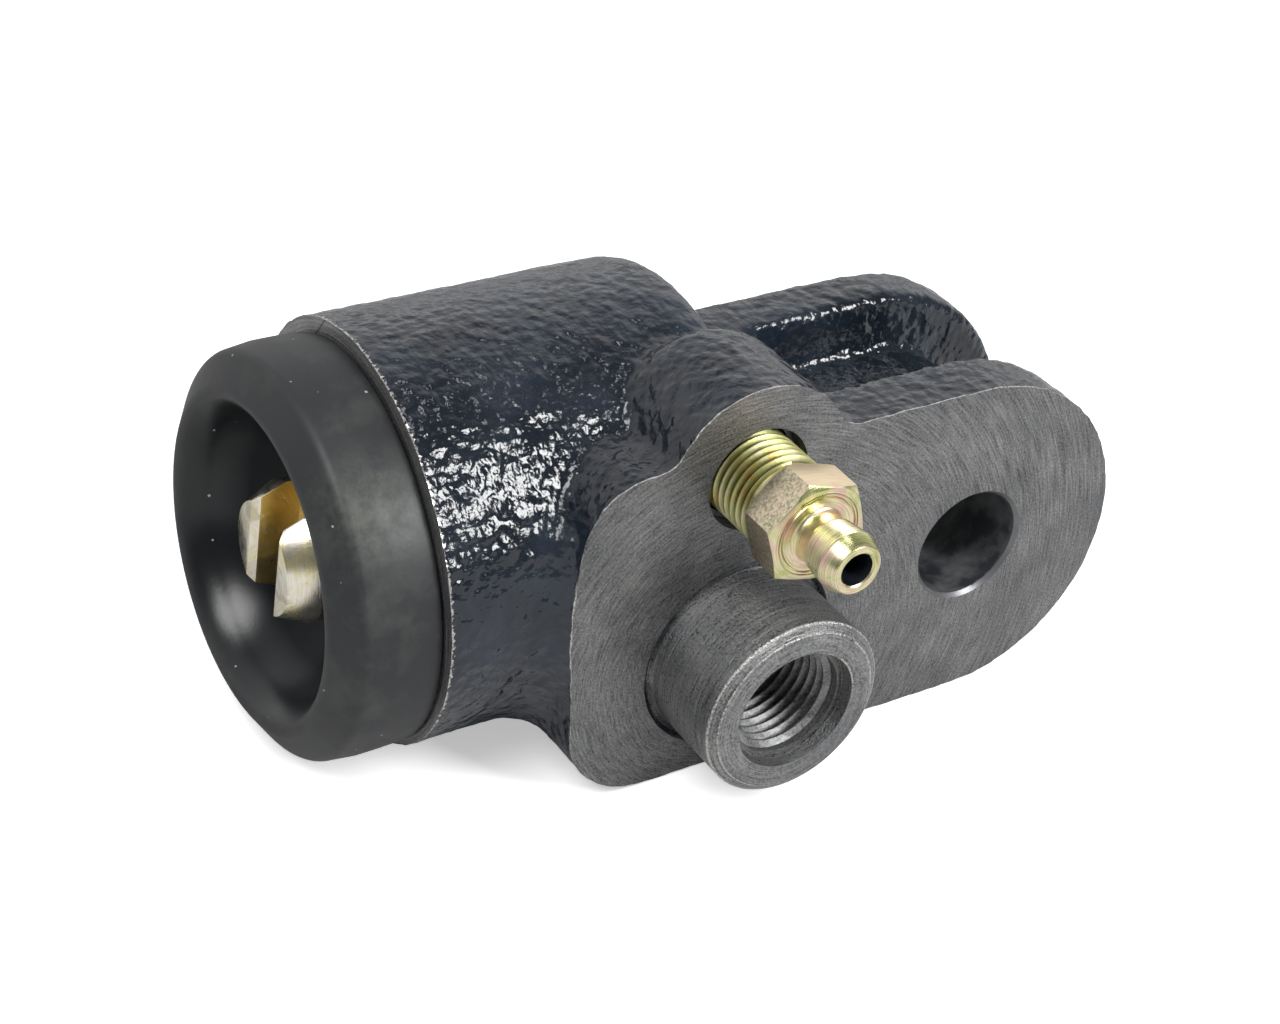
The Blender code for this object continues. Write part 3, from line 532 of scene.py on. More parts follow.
def moulded_rubber():
    """Moulded synthetic rubber: satin and nearly black, with greenish bloom, handling smears, specks of dust, a
    painted sheen and painted shade.
    """
    colours = bpy.context.scene.wheel_cylinder_colours
    made, tree, shader, place = start_material("moulded_rubber")
    bloom = add(tree, "TexNoise", {"Scale": 1 / (7 * MM), "Detail": 7.0, "Roughness": 0.68, "Vector": place})
    smear = add(tree, "MapRange", {0: bloom, 1: 0.5, 2: 0.8, 4: 0.55})
    # a painted sheen on the skirt, about 12 mm long and mottled like bloom, where the key light's highlight falls
    from_key_highlight = add(tree, "VectorMath", {"operation": "DISTANCE", 0: place, 1: (-51.6 * MM, 8.2 * MM, 14.0 * MM)})
    near_highlight = add(tree, "MapRange", {0: from_key_highlight, 1: 1.5 * MM, 2: 8.0 * MM, 3: 0.7, 4: 0.0})
    grain = add(tree, "TexNoise", {"Scale": 1 / (0.4 * MM), "Detail": 4.0, "Roughness": 0.7, "Vector": place})
    mottle = add(tree, "TexNoise", {"Scale": 1 / (2.2 * MM), "Detail": 8.0, "Roughness": 0.75, "Vector": place})
    rubbed = add(tree, "MapRange", {0: mottle, 1: 0.40, 2: 0.62})
    patch = add(tree, "Math", {"operation": "MULTIPLY", 0: near_highlight, 1: rubbed})
    bloom_and_sheen = add(tree, "Math", {"operation": "MAXIMUM", 0: smear, 1: patch})
    base = add(tree, "Mix", {"data_type": "RGBA", 0: bloom_and_sheen, 6: colours.rubber, 7: colours.rubber_bloom_and_sheen})
    # the funnel is as moulded and smoother than the handled outside; its blacker colour and the specular level that
    # falls deep inside are painted shade in the deep bowl
    across = add(tree, "VectorMath", {"operation": "MULTIPLY", 0: place, 1: (0, 1, 1)})
    from_bore = add(tree, "VectorMath", {"operation": "DISTANCE", 0: across, 1: (0, 24 * MM, 0)})
    outside_mouth = add(tree, "MapRange", {0: from_bore, 1: 15.9 * MM, 2: 17.0 * MM})
    base = add(tree, "Mix", {"data_type": "RGBA", 0: outside_mouth, 6: colours.funnel_rubber_and_shade, 7: base})
    # specks of dust, about 0.2 mm across
    speck = spots(tree, place, 1.9 * MM, 0.5, 0.16 * MM)
    base = add(tree, "Mix", {"data_type": "RGBA", 0: speck, 6: base, 7: (0.30, 0.30, 0.27)})
    outside = add(tree, "MapRange", {0: bloom, 1: 0.3, 2: 0.75, 3: 0.44, 4: 0.62})
    rough = add(tree, "Mix", {0: outside_mouth, 2: 0.28, 3: outside})
    gloss = add(tree, "MapRange", {0: from_bore, 1: 12.6 * MM, 2: 14.6 * MM, 3: 0.12, 4: 0.45})
    bump = add(tree, "Bump", {"Strength": 0.3, "Distance": 0.04 * MM, "Height": grain})
    wire(tree, shader, {"Base Color": base, "Roughness": rough, "Specular IOR Level": gloss, "IOR": 1.52,
                        "Normal": bump})
    return made


def passivated_zinc(name, centre, along, main, warm, cool, shine=(0.24, 0.38), groove_shade=0.6, roots=None):
    """Yellow passivated zinc on turned steel: a thin film that drifts from straw to pink and green, with painted
    shade in roots.
    """
    made, tree, shader, place = start_material(name)
    marks, radius, _ = tool_marks(tree, place, centre, along, 0.2 * MM, 1.2)
    film = add(tree, "TexNoise", {"Scale": 1 / (2.4 * MM), "Detail": 3.0, "Distortion": 0.6, "Vector": place})
    pink = add(tree, "MapRange", {0: film, 1: 0.50, 2: 0.66})
    green = add(tree, "MapRange", {0: film, 1: 0.47, 2: 0.34})
    base = add(tree, "Mix", {"data_type": "RGBA", 0: pink, 6: main, 7: warm})
    base = add(tree, "Mix", {"data_type": "RGBA", 0: green, 6: base, 7: cool})
    light = add(tree, "MapRange", {0: marks, 1: 0.32, 2: 0.6, 3: groove_shade, 4: 1.05})
    if roots:
        # painted shade: the film is darkened towards the roots of a thread, which also hold some oil
        crest = add(tree, "MapRange", {0: radius, 1: roots[0], 2: roots[1], 3: 0.12, 4: 0.8})
        light = add(tree, "Math", {"operation": "MULTIPLY", 0: light, 1: crest})
    base = add(tree, "Mix", {"data_type": "RGBA", "blend_type": "MULTIPLY", 0: 1.0, 6: base, 7: light})
    stain = spots(tree, place, 1.5 * MM, 0.7, 0.09 * MM)
    base = add(tree, "Mix", {"data_type": "RGBA", 0: stain, 6: base, 7: (0.05, 0.04, 0.03)})
    rough = add(tree, "MapRange", {0: film, 1: 0.3, 2: 0.7, 3: shine[0], 4: shine[1]})
    bump = add(tree, "Bump", {"Strength": 0.4, "Distance": 0.02 * MM, "Height": marks})
    wire(tree, shader, {"Base Color": base, "Metallic": 1.0, "Roughness": rough, "Normal": bump})
    return made


def drawn_hexagon_bar():
    """Zinc over cold-drawn hexagon bar: dull taupe flats, mottled at 0.3 mm, with paler warm patches."""
    colours = bpy.context.scene.wheel_cylinder_colours
    made, tree, shader, place = start_material("zinc_on_drawn_hexagon_bar")
    grain = add(tree, "TexNoise", {"Scale": 1 / (0.35 * MM), "Detail": 3.0, "Roughness": 0.75, "Vector": place})
    patches = add(tree, "TexNoise", {"Scale": 1 / (3 * MM), "Detail": 3.0, "Vector": place})
    dark = add(tree, "MapRange", {0: grain, 1: 0.42, 2: 0.6})
    warm = add(tree, "MapRange", {0: patches, 1: 0.45, 2: 0.65, 4: 0.3})
    base = add(tree, "Mix", {"data_type": "RGBA", 0: dark, 6: colours.bar, 7: colours.bar_dark})
    base = add(tree, "Mix", {"data_type": "RGBA", 0: warm, 6: base, 7: colours.zinc_pink})
    rough = add(tree, "MapRange", {0: grain, 1: 0.35, 2: 0.65, 3: 0.30, 4: 0.48})
    bump = add(tree, "Bump", {"Strength": 0.5, "Distance": 0.02 * MM, "Height": grain})
    wire(tree, shader, {"Base Color": base, "Metallic": 1.0, "Roughness": rough, "Normal": bump})
    return made


# --- Pieces ---


class WHEELCYLINDER_OT_casting(bpy.types.Operator):
    """Blends the cast shells into one pebbled skin and machines it."""

    bl_idname = "wheel_cylinder.casting"
    bl_label = "Casting"

    def execute(self, context):
        """Models the casting and puts it in place of its plain solid."""
        sizes = context.scene.wheel_cylinder_casting
        bore = Vector((0, sizes.face_to_bore, 0))
        casting = join(self.shells(sizes, bore))
        casting.name = "cast_body"
        apply_modifier(casting, "REMESH", "one skin", mode="VOXEL", voxel_size=sizes.voxel)
        apply_modifier(casting, "SMOOTH", "soft cast edges", factor=0.5, iterations=sizes.softening)
        lumps = bpy.data.textures.new("cast lumps", "CLOUDS")
        lumps.noise_scale = 1.5 * MM
        lumps.noise_depth = 1
        apply_modifier(casting, "DISPLACE", "pebbled skin", texture=lumps, texture_coords="LOCAL",
                       strength=sizes.pebble * 2, mid_level=0.5)
        self.machine(casting, sizes, bore)
        self.finish(casting, sizes, bore)
        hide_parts("cylinder_body")
        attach(casting, "cylinder")
        return {"FINISHED"}

    def shells(self, sizes, bore):
        """The overlapping shells of the raw casting."""
        r = sizes.cast_radius
        end_round = 4.0 * MM
        draft = 0.25 * MM
        shift = Vector((0, 0, sizes.core_shift))
        profile = [(SHOULDER_X - PAST, r)]
        profile += arc(END_X - end_round, r - draft - end_round, end_round, 90, 8, 8)
        pieces = [lathe("cast cylinder", profile, 144, bore + shift)]
        low = -sizes.flange_drop
        top = sizes.flange_top
        bl, br, tr, tl = ROUNDS.values()
        corner = 2.0 * MM
        pieces.append(plate("flange", (FLANGE_LEFT, -STOCK, low), (LUG_TIP_X, FRONT_FLANGE, top), (bl, br, tr, tl)))
        lobe = plate("lobe", (FLANGE_LEFT, -STOCK, low), (CHANNEL_ROOT_X, bore.y, top), (bl, corner, corner, tl))
        lobe_draft = 0.6 * MM
        wide = CHANNEL_ROOT_X - FLANGE_LEFT
        resize(lobe, lambda co: co.y > bore.y - MM, (1 - 2 * lobe_draft / wide, 1, 1 - 2 * lobe_draft / (top - low)),
               ((FLANGE_LEFT + CHANNEL_ROOT_X) / 2, bore.y, (low + top) / 2))
        pieces.append(lobe)
        neck = FLOOR_X
        grow = 0.4 * MM
        pieces.append(plate("neck", (neck, FRONT_FLANGE / 2, low), (CHANNEL_ROOT_X, LUG_BACK_Y, top), (corner,) * 4))
        pieces.append(plate("rear flange", (neck, REAR_FLANGE_Y, low), (LUG_TIP_X + grow, LUG_BACK_Y, top + grow),
                            (corner, br, tr + grow, corner)))
        inset = 6.2 * MM
        pieces.append(plate("web", (neck, FRONT_FLANGE / 2, low + inset),
                            (LUG_TIP_X - inset, LUG_BACK_Y - PAST, top - inset),
                            (corner, br - inset, tr - inset, corner)))
        boss = 10.4 * MM
        boss_end = 14.0 * MM
        boss_round = 2.5 * MM
        profile = [(STOCK, boss)] + arc(boss_round - boss_end, boss - boss_round, boss_round, 90, 172, 8)
        pieces.append(lathe("bleed boss", profile, 96, BLEED, "-Y"))
        # a collar with a hollow round, trimmed to where the flange's wall meets the cylinder
        fillet = 4.0 * MM
        sunk = r - 3 * MM
        foot = FLANGE_LEFT - fillet
        collar = [(foot - MM, sunk), (foot, r - 0.1 * MM)] + arc(foot, r + fillet, fillet, -90, 0, 8)
        collar += [(FLANGE_LEFT + PAST, r + fillet), (FLANGE_LEFT + PAST, sunk)]
        ring = lathe("wall fillet", collar, 144, bore + shift)
        trim = 6 * MM
        cut(ring, plate("trim", (SHOULDER_X, -STOCK, low + trim), (0, 14 * MM, top - trim), (MM,) * 4), "INTERSECT")
        pieces.append(ring)
        return pieces

    def machine(self, casting, sizes, bore):
        """Mills, turns and drills the casting."""
        cut(casting, plate("mill", (-FAR, -FAR, -FAR), (FAR, 0, FAR), (MM,) * 4))
        cut(casting, lathe("facing tool", [(-FAR, FAR / 2), (SHOULDER_X, FAR / 2)], 96, bore))
        boss = sizes.boss_radius
        high = sizes.boss_height
        wide, deep = RELIEF
        foot = wide - deep
        cut(casting, lathe("relief tool", [(PAST, boss + wide + PAST), (-deep, boss + foot)], 128, INLET, "-Y"))
        raised = [(-PAST, boss + foot), (-deep, boss + foot)]
        raised += arc(foot - deep, boss + foot, foot, 180, 270, 5)[1:]
        raised += [(high - CHAMFER_HEIGHT, boss), (high, boss - CHAMFER_WIDTH)]
        cut(casting, lathe("inlet boss", raised, 128, INLET, "-Y"), "UNION")
        ledge, width, depth = SPIGOT_GROOVE
        groove = SHOULDER_X - ledge
        chamfer = 0.6 * MM
        spigot = [(SHOULDER_X + 3 * MM, SPIGOT_RADIUS), (groove, SPIGOT_RADIUS), (groove, SPIGOT_RADIUS - depth),
                  (groove - width, SPIGOT_RADIUS - depth), (groove - width, SPIGOT_RADIUS),
                  (MOUTH_X + chamfer, SPIGOT_RADIUS), (MOUTH_X, SPIGOT_RADIUS - chamfer)]
        cut(casting, lathe("spigot", spigot, 128, bore), "UNION")
        hole = sizes.bore_radius
        bar = [(MOUTH_X - PAST, hole + PAST + MM), (MOUTH_X + MM, hole), (FLOOR_X - MM, hole), (FLOOR_X, hole - MM)]
        cut(casting, lathe("boring bar", bar, 128, bore))
        to_bore = -bore.y + 4 * MM
        wide, deep = COUNTERBORE
        tapped = sizes.thread_radius
        full = 15 * MM
        inlet = [(high + PAST, wide), (high - deep, wide), (high - deep, tapped), (high - full, tapped),
                 (high - full - 0.6 * (tapped - PORT_RADIUS), PORT_RADIUS), (to_bore, PORT_RADIUS)]
        cut(casting, lathe("inlet drill", inlet, 96, INLET, "-Y"))
        wide, deep = BLEED_RECESS
        tapped = 5.2 * MM
        full = 8.8 * MM
        bleed = [(PAST, wide), (-deep, wide), (-deep, tapped), (-full, tapped),
                 (-full - tapped + PORT_RADIUS, PORT_RADIUS), (to_bore, PORT_RADIUS)]
        cut(casting, lathe("bleed drill", bleed, 96, BLEED, "-Y"))
        wide = BOLT_HOLE_RADIUS
        bolt = [(PAST, wide + BOLT_EDGE + PAST), (-BOLT_EDGE, wide), (BOLT_EDGE - LUG_BACK_Y, wide),
                (-LUG_BACK_Y - PAST, wide + BOLT_EDGE + PAST)]
        cut(casting, lathe("bolt drill", bolt, 128, BOLT, "-Y"))

    def finish(self, casting, sizes, bore):
        """Gives each machined place its own finish, picked by its place and normal."""
        colours = bpy.context.scene.wheel_cylinder_colours
        boss = sizes.boss_radius
        inner = boss - CHAMFER_WIDTH
        outer = CHAMFER_HEIGHT - sizes.boss_height
        line = 0.09 * MM
        tiny = 0.01 * MM
        worn = (("radius", inner - line, inner + line), ("depth", outer - line, outer + line),
                ("radius", COUNTERBORE[0] + line, COUNTERBORE[0] + 2 * line))
        finishes = {
            "cast skin": painted_sand_casting(),
            "milled face": machined_iron("fly_cut_grey_iron", INLET, "Y", feed=0.16 * MM, breaks=9.0,
                                         mark_depth=0.045 * MM, tone=0.72),
            # the inlet boss's relief is painted darker, as shade
            "inlet boss": machined_iron("turned_grey_iron_inlet", INLET, "Y", feed=0.28 * MM, breaks=1.6,
                                        mark_depth=0.3 * MM, tone=0.82, worn=worn,
                                        relief_shade=(boss + 0.15 * MM, boss + RELIEF[0] + tiny), shine=(0.22, 0.4)),
            "bolt hole": painted_turned_iron("enamelled_bolt_hole", BOLT, "Y", 0.5 * MM, colours.shoulder,
                                             colours.hole, rubbed=MM),
            "bore": machined_iron("bored_grey_iron", bore, "X", feed=0.2 * MM, breaks=1.5, mark_depth=0.02 * MM),
            "bleed port": machined_iron("spot_faced_grey_iron", BLEED, "Y", feed=0.25 * MM, breaks=1.5,
                                        mark_depth=0.03 * MM),
            "shoulder": painted_turned_iron("enamelled_turned_shoulder", bore, "X", 0.35 * MM, colours.shoulder,
                                            colours.shoulder_thin),
            "tapped hole": machined_iron("tapped_grey_iron", INLET, "Y", feed=0.12 * MM, breaks=1.6,
                                         mark_depth=0.03 * MM, tone=0.85),
        }
        casting.data.materials.clear()
        for made in finishes.values():
            casting.data.materials.append(made)
        slot = {place: i for i, place in enumerate(finishes)}
        centres, normals = face_places(casting)
        x, y, z = centres.T
        from_inlet = np.hypot(x - INLET.x, z - INLET.z)
        from_bleed = np.hypot(x - BLEED.x, z - BLEED.z)
        from_bolt = np.hypot(x - BOLT.x, z - BOLT.z)
        milled = (np.abs(y) < tiny) & (normals[:, 1] < -0.99)
        in_bore = (np.hypot(y - bore.y, z) < sizes.bore_radius + tiny) & (x < FLOOR_X + tiny)
        in_port = ~in_bore & ~milled & (y < bore.y - sizes.bore_radius + 4 * MM)
        slots = np.zeros(len(centres), dtype=np.int32)
        slots[milled] = slot["milled face"]
        slots[(from_inlet < boss + RELIEF[0] + tiny) & in_port] = slot["inlet boss"]
        slots[(from_inlet < sizes.thread_radius + tiny) & in_port] = slot["tapped hole"]
        slots[(from_bolt < BOLT_HOLE_RADIUS + BOLT_EDGE) & ~milled] = slot["bolt hole"]
        slots[(from_bleed < BLEED_RECESS[0] + tiny) & (y > tiny) & in_port] = slot["bleed port"]
        slots[x < SHOULDER_X + tiny] = slot["shoulder"]
        slots[in_bore | (x < SHOULDER_X - tiny)] = slot["bore"]
        casting.data.polygons.foreach_set("material_index", slots)
        smooth_by_angle(casting, 40)


class WHEELCYLINDER_OT_inlet_thread(bpy.types.Operator):
    """Cuts the female thread of the inlet as a helical ridge on its wall."""

    bl_idname = "wheel_cylinder.inlet_thread"
    bl_label = "Inlet Thread"

    def execute(self, context):
        """Models the inlet's thread."""
        sizes = context.scene.wheel_cylinder_casting
        root = sizes.thread_radius
        pitch = sizes.thread_pitch
        turns = 10
        start = sizes.boss_height - COUNTERBORE[1] - (turns + 0.5) * pitch
        ridge = thread_ridge("inlet_thread", root + 0.1 * MM, root - 0.62 * MM, pitch, turns, start, INLET)
        ridge.data.materials.append(bpy.data.materials["tapped_grey_iron"])
        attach(ridge, "cylinder")
        return {"FINISHED"}


class WHEELCYLINDER_OT_boot(bpy.types.Operator):
    """Turns the moulded dust boot with its skirt, coned front, rounded lip and deep funnel."""

    bl_idname = "wheel_cylinder.boot"
    bl_label = "Dust Boot"

    def execute(self, context):
        """Models the boot and puts it in place of its plain solid."""
        sizes = context.scene.wheel_cylinder_boot
        bore = Vector((0, context.scene.wheel_cylinder_casting.face_to_bore, 0))
        rear = SHOULDER_X - GAP
        inside = SPIGOT_RADIUS + GAP
        edge = 0.3 * MM
        taper = 0.25 * MM
        front = 3.05 * MM
        crease = (BOOT_FRONT_X + front, sizes.radius - taper - sizes.crease_radius)
        lip = (BOOT_FRONT_X + sizes.lip_radius, sizes.mouth_radius + sizes.lip_radius)
        along = crease[0] - lip[0]
        out = crease[1] - lip[1]
        spread = (sizes.lip_radius - sizes.crease_radius) / math.hypot(along, out)
        tangent = math.degrees(math.atan2(out, along) + math.acos(spread))
        barrel = 90 * MM
        widest = BOOT_FRONT_X + 5.4 * MM
        profile = [(rear, inside)] + arc(rear - edge, sizes.radius - edge - taper, edge, 0, 90, 4)
        profile += arc(widest, sizes.radius - barrel, barrel, 86.5, 90, 6)[1:]
        # the lip flares into the mouth and runs on as a gentle bowl to the stem
        turned, let_go = 225, 250
        reach = sizes.flare_radius - sizes.lip_radius
        flare = (lip[0] - reach * math.cos(math.radians(turned)), lip[1] - reach * math.sin(math.radians(turned)))
        profile += arc(*crease, sizes.crease_radius, 90, tangent, 8)
        profile += arc(*lip, sizes.lip_radius, tangent, turned, 12)
        profile += arc(*flare, sizes.flare_radius, turned, let_go, 8)[1:]
        stem = STEM_RADIUS + GAP
        throat = profile[-1]
        deepest = (lip[0] + sizes.funnel_depth, stem)
        shallow, steep = -1 / math.tan(math.radians(let_go)), -1.5
        along = (deepest[1] - throat[1] - steep * (deepest[0] - throat[0])) / (shallow - steep)
        turn = (throat[0] + along, throat[1] + shallow * along)
        steps = 32
        bowl = []
        for i in range(1, steps + 1):
            t = i / steps
            bowl.append(tuple((1 - t) ** 2 * a + 2 * t * (1 - t) * b + t ** 2 * c
                              for a, b, c in zip(throat, turn, deepest)))
        profile += bowl + [(deepest[0] + sizes.skin, stem)]
        hidden = MOUTH_X - 2 * GAP
        profile += [(x + sizes.skin, r + sizes.skin) for x, r in reversed(bowl[:-1]) if x + sizes.skin > hidden]
        ledge, width, depth = SPIGOT_GROOVE
        bead = (SHOULDER_X - ledge - width + GAP, SHOULDER_X - ledge - GAP)
        profile += [(hidden, inside), (bead[0], inside), (bead[0], inside - depth), (bead[1], inside - depth),
                    (bead[1], inside)]
        boot = lathe("moulded_boot", profile, sizes.steps, bore, ring=True)
        # the fitted boot sits a little askew, up to 0.8 mm further out at the bottom of its mouth
        lean_up, lean_out = 0.04, 0.027
        for vertex in boot.data.vertices:
            share = (vertex.co.x - SHOULDER_X) / (BOOT_FRONT_X - SHOULDER_X)
            vertex.co.x += share * (lean_up * vertex.co.z - lean_out * (vertex.co.y - bore.y))
        boot.data.materials.append(moulded_rubber())
        smooth_by_angle(boot, 50)
        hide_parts("dust_boot")
        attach(boot, "cylinder")
        return {"FINISHED"}


class WHEELCYLINDER_OT_piston(bpy.types.Operator):
    """Turns the piston and mills the slot for the shoe in its stem."""

    bl_idname = "wheel_cylinder.piston"
    bl_label = "Piston"

    def execute(self, context):
        """Models the piston and puts it in place of its plain solid."""
        colours = context.scene.wheel_cylinder_colours
        bore = Vector((0, context.scene.wheel_cylinder_casting.face_to_bore, 0))
        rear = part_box("piston")[1][0]
        seal_low, seal_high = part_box("piston_seal")
        head = context.scene.wheel_cylinder_casting.bore_radius - 0.1 * MM
        groove = (seal_low[0] - 0.15 * MM, seal_high[0] + 0.15 * MM)
        groove_floor = head - 3.2 * MM
        front = rear - 20 * MM
        edge = 0.6 * MM
        tip = 5.9 * MM
        cone = TIP_X + 3.2 * MM
        profile = [(TIP_X, tip), (cone, STEM_RADIUS), (front, STEM_RADIUS), (front, head - edge),
                   (front + edge, head), (groove[0], head), (groove[0], groove_floor),
                   (groove[1], groove_floor), (groove[1], head), (rear - edge, head), (rear, head - edge)]
        piston = lathe("turned_piston", profile, 128, bore)
        depth = 5 * MM
        half = 2.6 * MM
        reach = 16 * MM
        start = -7 * MM
        slot = plate("slot", (start, -half, -reach), (depth, half, reach), (0.1 * MM,) * 4)
        lead = plate("lead", (start, -half, -reach), (0.7 * MM, half, reach), (0.1 * MM,) * 4)
        spread = 3.9
        resize(lead, lambda co: co.x < 0, (1, spread, 1), (start, 0, 0))
        # the piston turns freely, and its slot stands 8 degrees off upright in the photograph
        turned = math.radians(8)
        for tool in (slot, lead):
            activate(tool)
            tool.location = (TIP_X, bore.y, 0)
            tool.rotation_euler = (turned, 0, 0)
            cut(piston, settle(tool.name), solver="EXACT")
        apply_modifier(piston, "BEVEL", "broken edges", width=0.22 * MM, segments=2, limit_method="ANGLE",
                       angle_limit=math.radians(25), use_clamp_overlap=True)
        piston.data.materials.append(passivated_zinc("pale_zinc_piston", bore, "X", colours.zinc_pale, colours.zinc,
                                                     colours.bar, shine=(0.16, 0.30), groove_shade=0.86))
        # the slot's walls get a deeper gold copy of the zinc: painted reflection of the gold walls in each other
        piston.data.materials.append(passivated_zinc("slot_zinc_painted_reflection", bore, "X", colours.zinc_deep_and_slot_reflection,
                                                     colours.zinc_deep_and_slot_reflection, colours.zinc, shine=(0.25, 0.4),
                                                     groove_shade=0.9))
        centres, normals = face_places(piston)
        in_slot = (np.abs(normals[:, 1]) > 0.9) & (np.abs(centres[:, 1] - bore.y) < half + PAST)
        in_slot &= centres[:, 0] < TIP_X + depth
        piston.data.polygons.foreach_set("material_index", in_slot.astype(np.int32))
        smooth_by_angle(piston, 35)
        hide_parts("piston")
        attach(piston, "piston")
        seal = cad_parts["piston_seal"]
        seal.data.materials.clear()
        seal.data.materials.append(bpy.data.materials["moulded_rubber"])
        return {"FINISHED"}


class WHEELCYLINDER_OT_bleed_screw(bpy.types.Operator):
    """Turns the bleed screw, rolls its thread and forms its hexagon and nipple."""

    bl_idname = "wheel_cylinder.bleed_screw"
    bl_label = "Bleed Screw"

    def execute(self, context):
        """Models the bleed screw and puts it in place of its plain solid."""
        sizes = context.scene.wheel_cylinder_screw
        colours = context.scene.wheel_cylinder_colours
        core = sizes.core_radius
        corner = sizes.flats / math.sqrt(3)
        neck = 2.72 * MM
        low = 5.7 * MM
        high = low + 4.6 * MM
        tip = sizes.reach
        thin = 0.12 * MM
        collar = core + 0.3 * MM
        inside = low + 0.2 * MM
        under = high - 0.3 * MM
        groove = high - 0.2 * MM
        face = high - 0.02 * MM
        rim = 4.4 * MM
        ring = 4.22 * MM
        # the shaft: cone, thread core, plain collar, hidden core of the hexagon, and the two ring grooves of its face
        shaft = [(-8.5 * MM, 1.7 * MM), (-5.5 * MM, core), (low - 1.1 * MM, core), (low - 0.9 * MM, collar),
                 (inside, collar), (inside, neck), (under, neck), (under, rim), (face, rim), (face, 4.25 * MM),
                 (groove, ring), (groove, ring - thin), (high, ring - 2 * thin)]
        root = 0.5 * MM
        shaft += arc(high + root, neck + root, root, 180, 270, 4)
        # the nipple: neck, barrel with its turning grooves, and cone
        shaft += [(tip - 5.0 * MM, neck), (tip - 4.6 * MM, 2.84 * MM)]
        grooves = 11
        for i in range(grooves):
            at = tip - (4.5 - 0.26 * i) * MM
            wide = (2.94 + 0.03 * i) * MM
            shaft += [(at, wide), (at + 0.15 * MM, wide), (at + 0.20 * MM, wide - 0.06 * MM)]
        shaft += [(tip - 1.6 * MM, 3.26 * MM), (tip - 1.5 * MM, 3.24 * MM), (tip - 0.12 * MM, 2.66 * MM),
                  (tip, 2.56 * MM)]
        screw = lathe("turned_bleed_screw", shaft, 96, BLEED, "-Y")
        bpy.ops.object.select_all(action="DESELECT")
        turned = math.radians(44.6)
        bpy.ops.mesh.primitive_cylinder_add(vertices=6, radius=corner, depth=high - low,
                                            location=(BLEED.x, -(low + high) / 2, BLEED.z),
                                            rotation=(math.pi / 2, turned, 0))
        hexagon = settle("hexagon")
        over = corner + 0.05 * MM
        round_off = [(low, 5.15 * MM), (low + 0.35 * MM, over), (high - 0.5 * MM, over), (high, 4.6 * MM),
                     (high, rim + thin), (groove, rim + thin)]
        cut(hexagon, lathe("corner tool", round_off, 96, BLEED, "-Y"), "INTERSECT", "EXACT")
        apply_modifier(hexagon, "BEVEL", "broken edges", width=0.1 * MM, segments=2, limit_method="ANGLE",
                       angle_limit=math.radians(28), use_clamp_overlap=True)
        cut(screw, hexagon, "UNION", "EXACT")
        bore = 1.75 * MM
        lead = 0.15 * MM
        drill = [(-PAST, 0.2 * MM), (-MM, bore), (tip - lead, bore), (tip + PAST, bore + lead + PAST)]
        cut(screw, lathe("drill", drill, 64, BLEED, "-Y"), solver="EXACT")
        turns = 11
        start = -6.4 * MM
        ridge = thread_ridge("rolled_thread", core - 0.1 * MM, sizes.thread_radius, sizes.pitch, turns, start, BLEED)
        zinc = passivated_zinc("yellow_zinc_screw", BLEED, "Y", colours.zinc, colours.zinc_pink, colours.zinc_green)
        # the rolled thread is painted darker in its roots, as shade
        rolled = passivated_zinc("yellow_zinc_rolled_thread", BLEED, "Y", colours.zinc_green, colours.zinc,
                                 colours.zinc_deep_and_slot_reflection, shine=(0.36, 0.5), groove_shade=0.8,
                                 roots=(core, sizes.thread_radius - 0.1 * MM))
        for piece, plated in ((screw, zinc), (ridge, rolled)):
            piece.data.materials.clear()
            piece.data.materials.append(plated)
            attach(piece, "bleeder")
        screw.data.materials.append(drawn_hexagon_bar())
        # the nipple's deep drilled bore takes the black paint's colours: painted shade in the hole
        screw.data.materials.append(painted_turned_iron("shade_dark_drilled_bore", BLEED, "Y", 0.15 * MM,
                                                        colours.paint, colours.shoulder))
        # the upward flat of the hexagon gets paler, smoother zinc: a painted highlight where it mirrors the bright
        # backdrop
        screw.data.materials.append(passivated_zinc("painted_highlight_zinc_flat", BLEED, "Y", colours.zinc_flat_highlight,
                                                    colours.zinc_pink, colours.zinc, shine=(0.34, 0.46),
                                                    groove_shade=0.95))
        centres, normals = face_places(screw)
        from_axis = np.hypot(centres[:, 0] - BLEED.x, centres[:, 2] - BLEED.z)
        flats = (np.abs(normals[:, 1]) < 0.05) & (from_axis > sizes.flats / 2 - 0.15 * MM)
        flat_slot, drilled_slot, highlight_slot = 1, 2, 3
        slots = flats.astype(np.int32) * flat_slot
        slots[(from_axis < bore + lead / 4) & (centres[:, 1] < 0) & (np.abs(normals[:, 1]) < 0.5)] = drilled_slot
        # the upward-facing flat takes the painted highlight
        slots[flats & (normals[:, 2] > 0.9)] = highlight_slot
        screw.data.polygons.foreach_set("material_index", slots)
        smooth_by_angle(screw, 32)
        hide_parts("bleed_screw")
        return {"FINISHED"}


